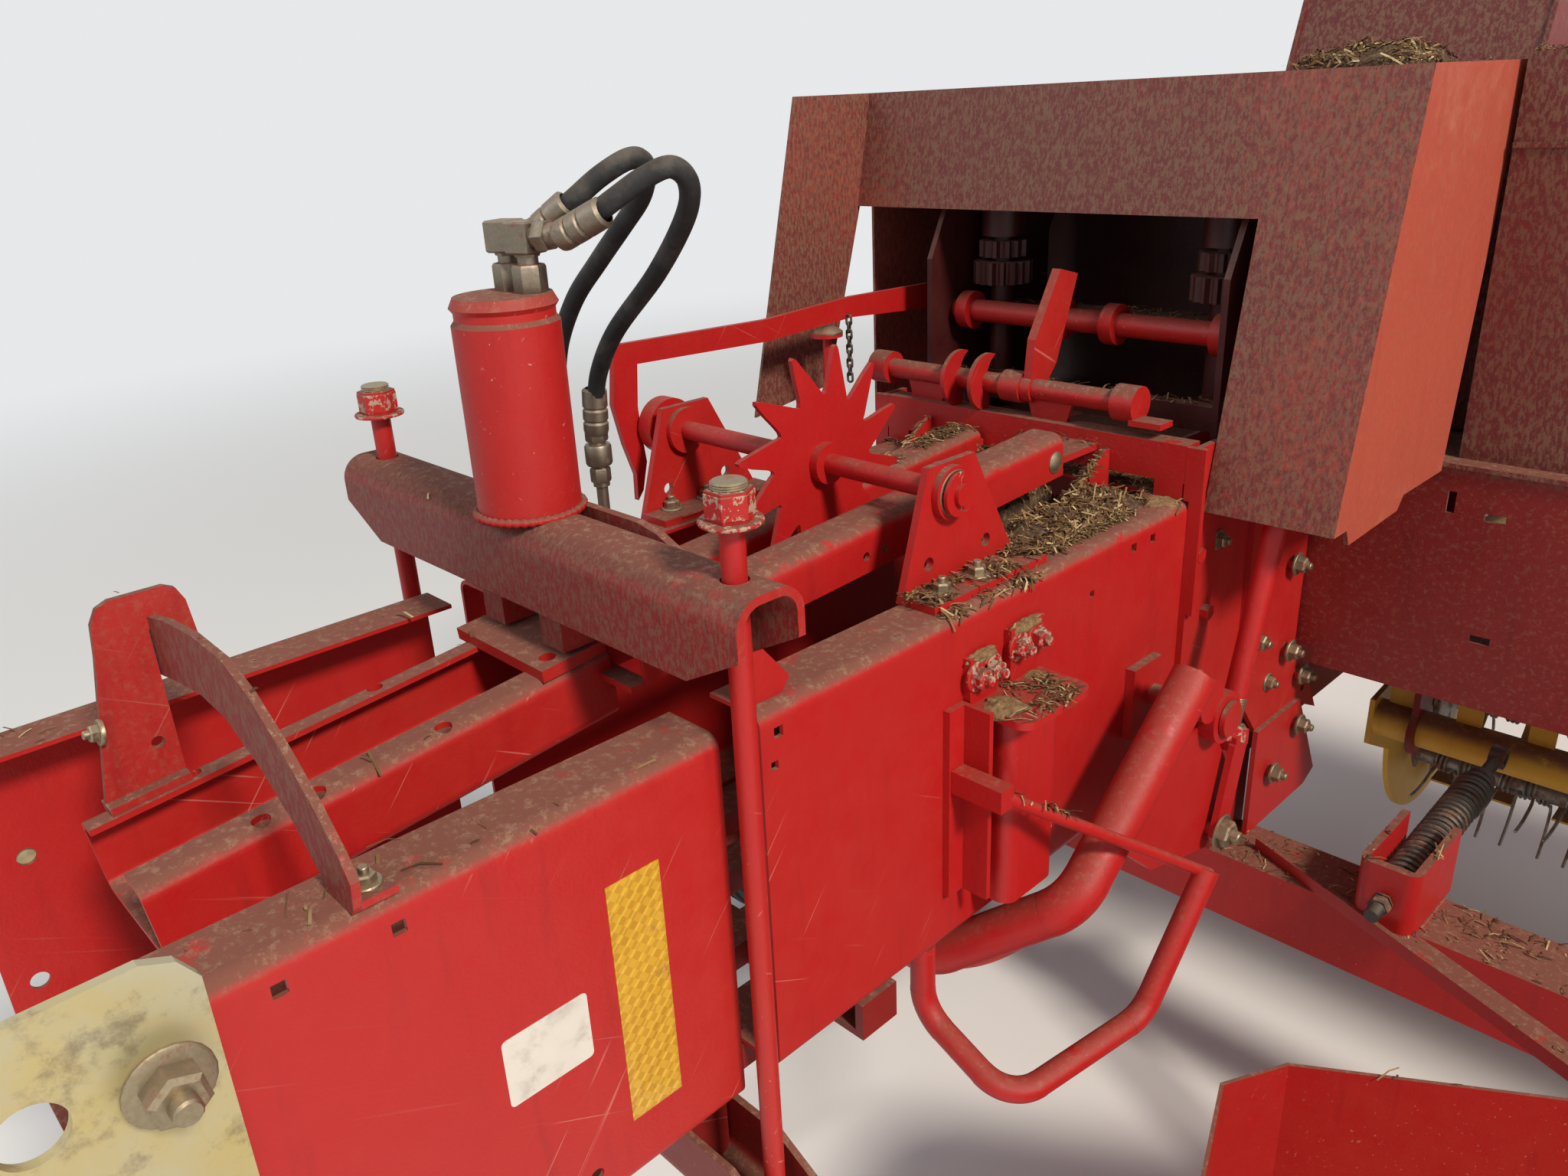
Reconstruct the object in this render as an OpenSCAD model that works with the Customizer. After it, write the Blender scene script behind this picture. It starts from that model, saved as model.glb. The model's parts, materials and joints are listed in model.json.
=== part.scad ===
/* [Bale case] */
// clear width between the two side sheets
case_w = 457; // [420:1:500]
// outer height of the side sheets
case_h = 364; // [340:1:390]
// thickness of the side sheets
sheet_t = 4; // [3:0.5:6]
// height of the top of the bale case above the ground
case_top = 1040; // [1020:1:1080]
// outer radius of the rolled edges of the side sheets
bend_r = 14; // [9:1:18]
// width of the inward flange, bend included
flange_w = 60; // [50:1:70]
// length of the rear pair of side sheets
rear_len = 442; // [430:2:470]
// slot between rear and front side sheets, where the tie rods pass
rod_slot = 43; // [36:1:50]
// length of the front pair of side sheets
front_len = 690; // [660:5:720]

/* [Density beams] */
// height of the channel that presses on the rails
beam_h = 76; // [70:1:84]
// width of that channel
beam_w = 66; // [62:1:72]
// wall of the channel
beam_t = 7; // [5:0.5:8]
// length of the channel
beam_len = 596; // [580:2:616]
// diameter of the tie rods
tie_d = 19; // [16:1:22]
// spacing of the two tie rods
tie_span = 524; // [520:1:532]
// outer diameter of the density cylinder
cyl_d = 88; // [80:1:96]
// height of the density cylinder above its beam
cyl_h = 180; // [170:2:190]

/* [Metering gear] */
// number of points of the star wheel
star_points = 12; // [10:1:14]
// tip radius of the star wheel
star_r = 122; // [112:1:128]
// thickness of the star wheel
star_t = 6; // [5:0.5:8]
// diameter of the star wheel shaft
star_shaft_d = 22; // [18:1:25]
// height of that shaft above the bale case
star_z = 96; // [92:1:102]
// width of the flat bar of the metering arm
arm_w = 28; // [24:1:32]

/* [Hood] */
// width of the twister hood
hood_w = 750; // [730:5:770]
// height of the hood above the bale case
hood_h = 455; // [440:5:470]
// thickness of the hood sheet
hood_t = 4; // [3:0.5:5]
// depth of the hood, front to back
hood_len = 285; // [280:1:300]
// how far the sides lean forward from bottom to top
hood_lean = 96; // [90:1:100]

/* [Needles] */
// diameter of the yoke tube
yoke_d = 50; // [44:1:54]
// radius from the yoke pivot to the needle circle
needle_r = 393; // [385:1:400]
// spacing of the two needles
needle_gap = 230; // [200:5:250]
// diameter of the yoke pivot pins
pivot_d = 25; // [20:1:28]

/* [Chassis] */
// side of the square axle beam
axle_side = 100; // [90:2:104]
// diameter of the left tyre
left_tyre_d = 787; // [760:1:800]
// width of the left tyre
left_tyre_w = 320; // [300:2:330]
// diameter of the right tyre
right_tyre_d = 686; // [660:1:700]
// width of the right tyre
right_tyre_w = 240; // [220:2:250]
// distance from the centre line of the case to the left wheel
left_wheel_x = 545; // [540:1:560]
// distance from the centre line of the case to the right wheel
right_wheel_x = 1690; // [1670:5:1710]
// length of the tongue from its pivot to the hitch pin
tongue_len = 2700; // [2600:10:2760]
// diameter of the hitch pin hole
hitch_bore = 32; // [30:1:36]

/* [Pickup] */
// width of the pickup between its end plates
pickup_w = 1560; // [1520:10:1600]
// radius of the tine tips
tine_r = 262; // [250:1:268]
// radius of the strippers
stripper_r = 196; // [185:1:205]
// number of tine bars
tine_bars = 6; // [4:1:6]
// number of tines on a bar
tines_per_bar = 15; // [12:1:16]
// diameter of the gauge wheel
gauge_d = 380; // [360:5:400]

/* [Driveline] */
// diameter of the flywheel
flywheel_d = 580; // [550:5:620]
// thickness of the flywheel rim
flywheel_w = 90; // [80:2:100]
// diameter of the guard tube of the driveline
drive_guard_d = 100; // [90:2:110]

/* [Hidden] */
$fn = 64;
half_in = case_w / 2;
half_out = half_in + sheet_t;
rear_y0 = 97 - rear_len;
front_y0 = 97 + rod_slot;
front_y1 = front_y0 + front_len;
rod_y = 99;
beam_z0 = 61;
beam_top = beam_z0 + beam_h;
star_y = 450;
star_x = 6;
hood_x0 = -357;
hood_x1 = hood_x0 + hood_w;
hood_y0 = 840;
hood_z0 = -15;
pivot_y = 750;
pivot_z = -216;
yoke_x = 312;
home_a = 215.6;
axle_y = 1035;
axle_z = 425 - case_top;
plunger_y0 = front_y1 + 0.4;
hinge_y = hood_y0 + hood_lean + hood_len + 16;
hinge_z = hood_h - 12;
twister_x = needle_gap / 2 + 50;
twister_y = 1000;
shaft_y = 960;
shaft_z = 165;
crank_pin = [925, 117];
lift_pin = [773, -380];
arm_x = -274;
arm_pivot = [1002, 176];
arm_stop_y = 752;
spring_x = 467;
// wire box: plan in its own turned axes, rear left corner at the origin
box_place = [579, 216];
box_turn = 19.3;
box_plan = [[0, 0], [604, 0], [604, 515], [59, 386], [0, 330]];
box_top = -500;
box_h = 190;
// brace between the axle beam and the wire box
brace_foot = [433, 985];
brace_turn = -22.6;
brace_len = 480;
brace_share = 0.71;
box_arm_x = 940;
spring_z = -522;
plunger_y1 = 2420;
rail_x0 = -68;
rail_x1 = 66;
rail_h = 67;
rail_len = 340;
rail_y = 60;
rail_z = 10.5;
rail_slope = 5.4;
front_rail_y = 118;
cross_y = 820;
trip_y = 836;
trip_z = 100;
left_hub_z = left_tyre_d / 2 - case_top;
right_hub_z = right_tyre_d / 2 - case_top;
feed_y0 = 1165;
feed_y1 = 1900;
feed_x0 = half_out + 32;
reel_y = 1760;
reel_z = 452 - case_top;
bar_y = reel_y - 300;
bar_z = reel_z + 60;
tine_pitch = (pickup_w - 60) / tines_per_bar;
gauge_y = reel_y - 20;
gauge_z = gauge_d / 2 + 60 - case_top;
pick_x0 = half_out + 40;
pick_x1 = pick_x0 + pickup_w;
feed_x1 = pick_x1 + 8;
gauge_x = pick_x1 + 105;
hitch_y = 2390 + tongue_len;
tongue_z = 420 - case_top;
tongue_x = -150;
jack_y = hitch_y - 560;
cradle_y = hitch_y - 590;
cradle_h = 190;
jack_x = tongue_x - 150;
drive_z = 810 - case_top;
joint_y = 3190;
flywheel_y = 2960;
left_most = -left_wheel_x - left_tyre_w / 2;
right_most = gauge_x + 70;
case_x = (left_most + right_most) / 2;
rear_most = rear_y0 - 75;
front_most = hitch_y + 45;
case_y = (rear_most + front_most) / 2;

red = [0.74, 0.1, 0.09];
dark_red = [0.4, 0.06, 0.06];
steel = [0.55, 0.53, 0.5];
rubber = [0.07, 0.07, 0.07];
yellow = [0.9, 0.66, 0.08];
zinc = [0.72, 0.64, 0.38];

module at_case() {
    translate([-case_x, -case_y, case_top]) children();
}

function unit(v) = v / norm(v);
function turn_of(a, b, c) = acos(min(1, max(-1, unit(b - a) * unit(c - b))));
function trim_of(path, i, r) =
    i == 0 || i == len(path) - 1 ? 0 : r * tan(turn_of(path[i - 1], path[i], path[i + 1]) / 2);

// a round bar from point a to point b
module bar(a, b, d) {
    v = b - a;
    translate(a)
        rotate([0, acos(v.z / norm(v)), atan2(v.y, v.x)])
            cylinder(h = norm(v), d = d);
}

// one round bend of a pipe at point b
module pipe_bend(a, b, c, d, r) {
    turn = turn_of(a, b, c);
    vin = unit(b - a);
    vout = unit(c - b);
    n = unit(cross(vin, vout));
    centre = b + unit(vout - vin) * r / cos(turn / 2);
    x = unit(b - vin * r * tan(turn / 2) - centre);
    y = cross(n, x);
    multmatrix([[x.x, y.x, n.x, centre.x], [x.y, y.y, n.y, centre.y], [x.z, y.z, n.z, centre.z],
            [0, 0, 0, 1]])
        rotate_extrude(angle = turn)
            translate([r, 0])
                circle(d = d);
}

// a pipe through a list of points, with every corner bent to radius r; its straights run 1 into the bends
module pipe(path, d, r) {
    n = len(path);
    for (i = [0 : n - 2]) {
        v = unit(path[i + 1] - path[i]);
        bar(path[i] + v * (trim_of(path, i, r) - (i == 0 ? 0 : 1)),
            path[i + 1] - v * (trim_of(path, i + 1, r) - (i == n - 2 ? 0 : 1)), d - 0.6);
    }
    for (i = [1 : n - 2])
        pipe_bend(path[i - 1], path[i], path[i + 1], d, r);
}

// a box between two corners
module block(a, b) {
    translate(a) cube(b - a);
}

// a cylinder along X, centred on x
module disc_x(x, y, z, d, w) {
    translate([x - w / 2, y, z]) rotate([0, 90, 0]) cylinder(h = w, d = d);
}

// a cylinder along Y, from y
module disc_y(x, y, z, d, w) {
    translate([x, y, z]) rotate([-90, 0, 0]) cylinder(h = w, d = d);
}

// a profile drawn in X and Z, drawn out along Y
module along_y(y0, y1) {
    translate([0, y1, 0]) rotate([90, 0, 0]) linear_extrude(height = y1 - y0) children();
}

// a profile drawn in Y and Z, drawn out along X
module along_x(x0, x1) {
    translate([x0, 0, 0]) rotate([90, 0, 90]) linear_extrude(height = x1 - x0) children();
}

// a rectangle with round corners, first corner at x, z
module round_rect(x, z, w, h, r) {
    translate([x + r, z]) square([w - 2 * r, h]);
    translate([x, z + r]) square([w, h - 2 * r]);
    for (i = [r, w - r], j = [r, h - r])
        translate([x + i, z + j]) circle(r);
}

// one rolled side sheet, right-hand, between two stations
module side_sheet(y0, y1) {
    along_y(y0, y1)
        difference() {
            round_rect(half_out - 2 * flange_w, -case_h, 2 * flange_w, case_h, bend_r);
            round_rect(half_out - 2 * flange_w, -case_h + sheet_t, 2 * flange_w - sheet_t,
                case_h - 2 * sheet_t, bend_r - sheet_t);
            translate([half_out - 3 * flange_w, -case_h - 1]) square([2 * flange_w, case_h + 2]);
        }
}

module right_side_sheets() {
    color(red)
        at_case()
            difference() {
                union() {
                    // stop gusset on the flange in front of the beam
                    along_x(212, 217)
                        polygon([[front_y0 + 1, -1], [180, -1], [190, 12], [152, 58], [front_y0 + 1, 58]]);
                    side_sheet(rear_y0, rear_y0 + rear_len);
                    side_sheet(front_y0, front_y1);
                }
                // rows of square holes near the top edge, and round ones below
                for (y = [-256, -179, 155, 700, 740])
                    translate([half_in - 2, y, -28]) cube([sheet_t + 4, 10, 10]);
                for (y = [150, 620])
                    translate([half_in - 2, y, -56]) cube([sheet_t + 4, 8, 8]);
                for (p = [[-300, -300], [-60, -330]])
                    disc_x(half_in, p.x, p.y, 13, 20);
                // long hole in the flange near the rear end
                block([180, -337, -10], [210, -319, 1]);
            }
}

module left_side_sheets() {
    color(red)
        at_case()
            difference() {
                mirror([1, 0, 0]) {
                    side_sheet(rear_y0, rear_y0 + rear_len);
                    side_sheet(front_y0, front_y1);
                }
                for (p = [[-320, -70], [-300, -120], [-190, -70], [-320, -240]])
                    disc_x(-half_in, p.x, p.y, 16, 20);
            }
}

// a hexagon bolt head that stands out along X
module head_x(x, y, z, d, h) {
    translate([x, y, z]) rotate([0, 90, 0]) cylinder(h = h, d = d, $fn = 6);
}

// angle upright where side sheet and plunger case meet
module junction_plate() {
    x0 = half_out + 0.3;
    block([x0, front_y1 - 10, -350], [half_out + 8, front_y1 + 52, 0]);
    block([x0, front_y1 - 10, -1], [half_out + 8, front_y1 + 40, 64]);
    block([x0, front_y1 - 10, -140], [half_out + 16.5, front_y1 - 2, 64]);
    block([226, front_y1 - 10, 0.3], [x0 + 1, front_y1 - 2, 64]);
    for (p = [[front_y1 + 2, -66], [front_y1 + 36, -150], [front_y1 + 36, -300]])
        head_x(half_out + 7.5, p.x, p.y, 20, 10);
}

// hanger plate that carries the axle below the case, with its lower gusset
module hanger_plate() {
    difference() {
        union() {
            along_x(half_out + 0.3, half_out + 8)
                polygon([[985, -22], [1150, -22], [1158, -142], [1158, -328], [1196, -332],
                    [1264, -442], [1186, -404],
                    [1062, -404], [992, -319]]);
            along_x(half_out + 7.9, half_out + 15)
                polygon([[1052, -396], [1186, -396], [1272, -549], [1240, -564.7], [1052, -564.7]]);
        }
        block([half_out, 1200, -392], [half_out + 20, 1212, -381]);
    }
    for (p = [[1122, -294], [1178, -352], [1110, -160], [1010, -240]])
        head_x(half_out + 7.5, p.x, p.y, 20, 10);
    for (p = [[1175, -431], [1102, -480]])
        head_x(half_out + 14.5, p.x, p.y, 18, 9);
}

// stop bolt below the metering arm, on a bracket of the left side sheet
module arm_stop() {
    y = arm_stop_y;
    block([-half_out - 8, y - 18, -70], [-half_out - 0.3, y + 18, 50]);
    block([arm_x - 18, y - 18, 44], [-half_out - 0.3, y + 18, 50]);
    translate([arm_x, y, 30]) cylinder(h = 124, d = 12);
    translate([arm_x, y, 152]) cylinder(h = 6, d = 44);
    nut(arm_x, y, 49.5, 22, 10);
}

// pin plate that carries the needle yoke
module yoke_pivot() {
    block([half_out + 0.3, pivot_y - 45, pivot_z - 45], [half_out + 12, pivot_y + 15, pivot_z + 45]);
    bar([half_out + 1, pivot_y, pivot_z], [yoke_x + 32, pivot_y, pivot_z], pivot_d);
    bar([yoke_x + 26, pivot_y, pivot_z], [yoke_x + 32, pivot_y, pivot_z], 42);
}

module junction_plates() {
    color(red)
        at_case() {
            for (s = [0, 1])
                mirror([s, 0, 0]) {
                    junction_plate();
                    yoke_pivot();
                    hanger_plate();
                }
            arm_stop();
        }
}

// the closed fore part of the case, round the plunger, open to the feed housing on the right
module plunger_case() {
    color(red)
        at_case()
            difference() {
                block([-half_out, plunger_y0, -case_h], [half_out, plunger_y1, 0]);
                block([-half_in, plunger_y0 - 1, -case_h + sheet_t], [half_in, plunger_y1 - 8, -sheet_t]);
                // slots for the needles and for the twisters
                for (x = [-needle_gap / 2, needle_gap / 2]) {
                    block([x - 25, plunger_y0 + 60, -case_h - 1], [x + 25, plunger_y0 + 340, -case_h + 40]);
                    block([x - 25, plunger_y0 + 60, -60], [x + 25, plunger_y0 + 340, 1]);
                }
                // feed opening
                block([half_in - 10, 1340, -case_h + 30], [half_out + 10, 1960, -40]);
            }
}

module rail(x0, x1, z0, z1, y0, y1, t, r) {
    along_y(y0, y1)
        difference() {
            round_rect(x0, z0 - 30, x1 - x0, z1 - z0 + 30, r);
            round_rect(x0 + t, z0 - 30, x1 - x0 - 2 * t, z1 - z0 + 30 - t, r - t);
            translate([x0 - 1, z0 - 31]) square([x1 - x0 + 2, 31]);
        }
}

// rear rail: a C-shaped channel open on top between two lips, with the pad that the beam presses on
module rear_rail() {
    difference() {
        along_y(-rail_len, 57)
            difference() {
                round_rect(rail_x0, -rail_h, rail_x1 - rail_x0, rail_h, 12);
                round_rect(rail_x0 + 5, 5 - rail_h, rail_x1 - rail_x0 - 10, rail_h - 10, 7);
                translate([rail_x0 + 26, -8]) square([rail_x1 - rail_x0 - 56, 10]);
            }
        for (p = [[-55, -104, 14], [-55, -260, 14], [55, -100, 14], [55, -250, 14]])
            translate([p.x, p.y, -12]) cylinder(h = 20, d = p.z);
        // long hole in the right lip
        for (y = [-216, -208])
            translate([55, y, -12]) cylinder(h = 20, d = 15);
    }
    difference() {
        block([rail_x0 - 5, -10, -1], [rail_x1, 54, 10]);
        translate([48, 8, -1]) cylinder(h = 20, d = 15);
    }
}

// plate with a triangular outline that stands between rail and cross channel
module fin(x) {
    along_x(x, x + 5)
        polygon([[739, 0.3], [cross_y + 1, 0.3], [cross_y + 1, 46], [cross_y - 10, 46]]);
}

// one hooked plate of the trip shaft
module trip_plate(x) {
    along_x(x, x + 6)
        difference() {
            translate([trip_y, trip_z]) circle(37);
            translate([trip_y + 30, trip_z + 4]) circle(33);
            translate([trip_y + 4, trip_z - 40]) square([50, 34]);
        }
}

// shaft that trips the knotters, on two brackets over the cross channel
module trip_shaft() {
    bar([-243, trip_y, trip_z], [152, trip_y, trip_z], 26);
    for (x = [-242, 140])
        disc_x(x, trip_y, trip_z, 44, 30);
    block([150, trip_y - 18, trip_z - 22], [192, trip_y + 10, trip_z - 15]);
    trip_plate(-116);
    trip_plate(-72);
    disc_x(-22, trip_y, trip_z, 40, 30);
    along_x(-4, 8)
        polygon([[trip_y - 12, trip_z - 6], [trip_y + 8, trip_z - 14], [trip_y + 44, trip_z + 26],
            [trip_y + 84, trip_z + 132], [trip_y + 45, trip_z + 142], [trip_y - 4, trip_z + 62]]);
    bar([-30, trip_y, trip_z], [8, trip_y, trip_z], 34);
    for (x = [-165, 31])
        along_y(trip_y - 3, trip_y + 3)
            polygon([[x - 36, trip_z], [x - 24, 60], [x + 24, 60], [x + 36, trip_z]]);
}

module top_rails() {
    color(red)
        at_case() {
            translate([0, rail_y, rail_z]) rotate([rail_slope, 0, 0]) rear_rail();
            // front rails, which rise towards the knotters
            translate([0, front_rail_y, 45])
                rotate([3.1, 0, 0])
                    difference() {
                        rail(58, 112, -50, 0, 0, 625, 5, 15);
                        for (y = [282, 310])
                            disc_x(110, y, -32, 9, 12);
                    }
            translate([0, front_rail_y, -6]) rotate([4, 0, 0]) rail(-112, -58, -34, 0, 0, 695, 5, 12);
            // cross channel at the fore end
            difference() {
                block([-225.7, cross_y, 20], [225.7, cross_y + 30, 65]);
                block([-226, cross_y + 5, 19], [226, cross_y + 31, 60]);
            }
            for (x = [-206, 206])
                block([x - 18, cross_y, 0.3], [x + 18, cross_y + 6, 30]);
            // ties between rear rail, front rails and cross channel
            block([-110, 106, -9], [110, 126, -3]);
            block([60, 700, 42], [110, cross_y + 4, 50]);
            block([-110, 780, 20], [-60, cross_y + 4, 28]);
            fin(122);
            fin(-150);
            trip_shaft();
        }
}

module bottom_rails() {
    color(dark_red)
        at_case() {
            for (s = [-1, 1]) {
                block([s * 150 - 30, rear_y0 + 60, -case_h - 34], [s * 150 + 30, 820, -case_h - 4]);
                block([s * 50 - 22, rear_y0 + 60, -case_h - 34], [s * 50 + 22, 820, -case_h - 4]);
            }
            for (y = [-300, 250, 700])
                block([-half_out, y, -case_h - 42], [half_out, y + 50, -case_h - 34]);
            for (s = [-1, 1], y = [-300, 250, 700])
                block([s * (half_out - 5) - 5, y, -case_h - 36], [s * (half_out - 5) + 5, y + 50, -case_h]);
        }
}

// profile of a press beam: a channel open below, cut away towards its ends
module press_beam() {
    difference() {
        along_x(-beam_len / 2, beam_len / 2)
            difference() {
                round_rect(rod_y - beam_w / 2, beam_z0 - 30, beam_w, beam_h + 30, 24);
                round_rect(rod_y - beam_w / 2 + beam_t, beam_z0 - 30, beam_w - 2 * beam_t,
                    beam_h + 30 - beam_t, 24 - beam_t);
                translate([rod_y - beam_w, beam_z0 - 31]) square([2 * beam_w, 31]);
            }
        for (s = [-1, 1]) {
            translate([s * tie_span / 2, rod_y, 0]) cylinder(h = 300, d = tie_d + 3);
            translate([s * (beam_len / 2 - 60), rod_y - beam_w, beam_z0])
                rotate([0, s > 0 ? -28 : 208, 0])
                    translate([0, 0, s > 0 ? -60 : 0])
                        cube([160, 2 * beam_w, 60]);
        }
    }
}

module top_beam() {
    color(red)
        at_case() {
            press_beam();
            // feet that press on the pad of the rear rail
            for (s = [-1, 1])
                block([s * 46 - 16, rod_y - 24, 26], [s * 46 + 16, rod_y + 13, beam_top - beam_t]);
            // curved stiffener along the fore side
            translate([0, rod_y + beam_w / 2, beam_z0 + 20])
                rotate([90, 0, 0])
                    mirror([0, 0, 1])
                        linear_extrude(height = 8)
                            difference() {
                                polygon([[-185, 0], [185, 0], [178, 22], [161, 38], [131, 51], [105, 55.9],
                                    [-105, 55.9], [-131, 51], [-161, 38], [-178, 22]]);
                                translate([0, 2]) circle(14);
                            }
        }
}

module bottom_beam() {
    color(dark_red)
        at_case()
            translate([0, 0, -case_h])
                mirror([0, 0, 1]) {
                    press_beam();
                    for (s = [-1, 1])
                        block([s * 150 - 20, rod_y - 24, 34.2],
                            [s * 150 + 20, rod_y + 24, beam_top - beam_t]);
                }
}

module nut(x, y, z, d, h) {
    translate([x, y, z]) cylinder(h = h, d = d, $fn = 6);
}

module tie_rods() {
    color(red)
        at_case()
            for (s = [-1, 1]) {
                translate([s * tie_span / 2, rod_y, -case_h - beam_top - 30])
                    cylinder(h = case_h + 2 * beam_top + 90, d = tie_d);
                nut(s * tie_span / 2, rod_y, beam_top + 46, 36, 22);
                nut(s * tie_span / 2, rod_y, -case_h - beam_top - 20, 36, 19.7);
            }
}

module density_cylinder() {
    color(red)
        at_case()
            translate([0, rod_y, beam_top + 0.3]) {
                rotate_extrude()
                    polygon([[0, 0], [cyl_d / 2, 0], [cyl_d / 2, cyl_h - 22], [cyl_d / 2 - 3, cyl_h - 18],
                        [cyl_d / 2 - 3, cyl_h - 12], [cyl_d / 2, cyl_h - 8], [cyl_d / 2 - 4, cyl_h],
                        [0, cyl_h]]);
                for (x = [-14, 15])
                    translate([x, 18, cyl_h]) cylinder(h = 22, d = 24, $fn = 6);
            }
}

// one hose from the cylinder to its coupling and steel line on the left rail
module hose(x0, up, far, low) {
    y0 = rod_y + 18;
    z0 = beam_top + cyl_h + 22.6;
    color(rubber)
        at_case()
            pipe([[x0, y0, z0], [x0, y0, z0 + up.z], [x0 + up.x, y0 + up.y, z0 + far.z + 20],
                [far.x, far.y, z0 + far.z],
                [low.x, low.y, 186]], 17, 24);
    color(steel)
        at_case() {
            bar([low.x, low.y, 203], [low.x, low.y, 96], 23);
            bar([low.x, low.y, 97], [low.x, low.y, low.z], 12);
        }
}

module hydraulic_lines() {
    hose(-14, [34, 58, 26], [-30, 240, 40], [-135, 222, 5]);
    hose(15, [60, 63, 41], [31, 262, 68], [-105, 246, 45.3]);
}

// outline of the star wheel
module star_outline() {
    step = 360 / star_points;
    // share of the step and share of the tip radius, along one tooth
    tooth = [[0, 0.62], [0.55, 0.97], [0.6, 1], [0.645, 0.985], [0.7, 0.84], [0.755, 0.68], [0.8, 0.615],
        [0.86, 0.585], [0.93, 0.59]];
    polygon([for (i = [0 : star_points - 1], p = tooth)
        star_r * p[1] * [cos((i + p[0]) * step), sin((i + p[0]) * step)]]);
}

module star_wheel() {
    color(red)
        at_case()
            translate([0, star_y, star_z]) {
                along_x(star_x - star_t / 2, star_x + star_t / 2) star_outline();
                disc_x(star_x, 0, 0, 44, 28);
                bar([arm_x + 9, 0, 0], [196, 0, 0], star_shaft_d);
                // measuring drum at the left end, beside the arm
                bar([arm_x + 9, 0, 0], [arm_x + 31, 0, 0], 68);
                // washer and collar at the right end
                disc_x(189.2, 0, 0, 44, 4);
            }
}

module star_bracket(x, s) {
    difference() {
        union() {
            along_x(x - 4, x + 4)
                polygon([[star_y - 70, 0.3], [star_y + 110, 0.3], [star_y + 40, star_z + 30],
                    [star_y - 30, star_z + 30]]);
            block([min(x, x + s * 44), star_y - 70, 0.3], [max(x, x + s * 44), star_y + 110, 8.3]);
            disc_x(x, star_y, star_z, 54, 24);
        }
        disc_x(x, star_y, star_z, star_shaft_d + 0.1, 60);
        for (y = [star_y - 30, star_y + 60])
            disc_x(x, y, 30, 14, 40);
    }
}

module star_brackets() {
    color(red)
        at_case() {
            star_bracket(172, 1);
            star_bracket(-225, 1);
        }
}

module metering_arm() {
    color(red)
        at_case()
            difference() {
                union() {
                    along_x(arm_x - 4, arm_x + 4)
                        polygon([[396, 199], [637, 192], [800, 199], [1002, 195], [1014, 176],
                            [1002, 158], [800, 199 - arm_w],
                            [637, 192 - arm_w], [427, 172], [422, 122], [424, 90], [428, 53], [419, 19],
                                [410, 8],
                            [411, 40], [398, 80], [387, 130]]);
                    disc_x(arm_x, arm_pivot.x, arm_pivot.y, 42, 20);
                }
                disc_x(arm_x, arm_pivot.x, arm_pivot.y, 20.1, 60);
            }
}

// hood sheet shape seen from the side
module hood_side(d) {
    polygon([[hood_y0 + d, hood_z0], [hood_y0 + hood_len + 32 - d, hood_z0],
        [hood_y0 + hood_lean + hood_len - d, hood_h - d], [hood_y0 + hood_lean + d, hood_h - d]]);
}

module hood() {
    color(red)
        at_case()
            difference() {
                union() {
                    difference() {
                        along_x(hood_x0, hood_x1) hood_side(0);
                        along_x(hood_x0 + hood_t, hood_x1 - hood_t)
                            translate([0, -1]) hood_side(hood_t);
                        // opening in the rear face
                        block([hood_x0 - 1, hood_y0 - 10, hood_z0 - 10],
                            [half_out + 10, hood_y0 + hood_lean + 4, 306]);
                        // the front stays open
                        block([hood_x0 + hood_t, hood_y0 + hood_len - 30, hood_z0 - 10],
                            [hood_x1 - hood_t, hood_y0 + hood_len + hood_lean + 20, hood_h - hood_t]);
                    }
                    // left end shield, longer towards the rear
                    along_x(hood_x0, hood_x0 + hood_t)
                        polygon([[686, 41], [836, 60], [hood_y0 + hood_lean + 20, hood_h], [787, hood_h]]);
                    // inner flap below the right side
                    along_x(hood_x1 - 8, hood_x1 - 3)
                        polygon([[872, 0], [892, -38], [1030, -34], [1060, 0]]);
                    // hinge knuckles at the fore top edge
                    for (x = [-300, 0, 300]) {
                        disc_x(x, hinge_y, hinge_z, 24, 50);
                        block([x - 25, hinge_y - 40, hood_h - hood_t], [x + 25, hinge_y, hood_h]);
                    }
                }
                for (x = [-300, 0, 300])
                    disc_x(x, hinge_y, hinge_z, 12.1, 60);
            }
}

module twister_frame() {
    color(dark_red)
        at_case() {
            difference() {
                union() {
                    // side cheeks on the case
                    for (x = [-220, 212]) {
                        along_x(x, x + 8)
                            polygon([[900, 0.3], [1180, 0.3], [1180, 300], [1120, 360], [960, 360],
                                [900, 240]]);
                    }
                    block([-220, 930, 330], [220, 1150, 338]);
                    block([-220, 905, 60], [220, 925, 90]);
                    block([-220, 992, 150], [220, 1110, 158]);
                }
                for (x = [-twister_x, twister_x])
                    translate([x, twister_y, 100]) cylinder(h = 300, d = 32.1);
                disc_x(0, shaft_y, shaft_z, 30.1, 600);
            }
            // rail that carries the hood hinge
            for (x = [-300, 0, 300]) {
                disc_x(x, hinge_y, hinge_z, 12, 90);
                for (s = [-43, 43])
                    block([x + s - 4, hinge_y - 8, 380], [x + s + 4, hinge_y + 12, hood_h]);
            }
            block([-347, hinge_y - 8, 370], [347, hinge_y + 12, 390]);
            // fore wall that closes the room of the knotters
            block([-347, hinge_y - 8, 0.3], [feed_x0 - 2.5, hinge_y - 4, 371]);
            for (x = [-220, 212])
                along_x(x, x + 8) polygon([[1150, 250], [1180, 250], [hinge_y + 12, 371],
                    [hinge_y - 8, 371]]);
            // pivot pin of the metering arm
            bar([arm_x - 14, arm_pivot.x, arm_pivot.y], [-219, arm_pivot.x, arm_pivot.y], 20);
        }
}

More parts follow.
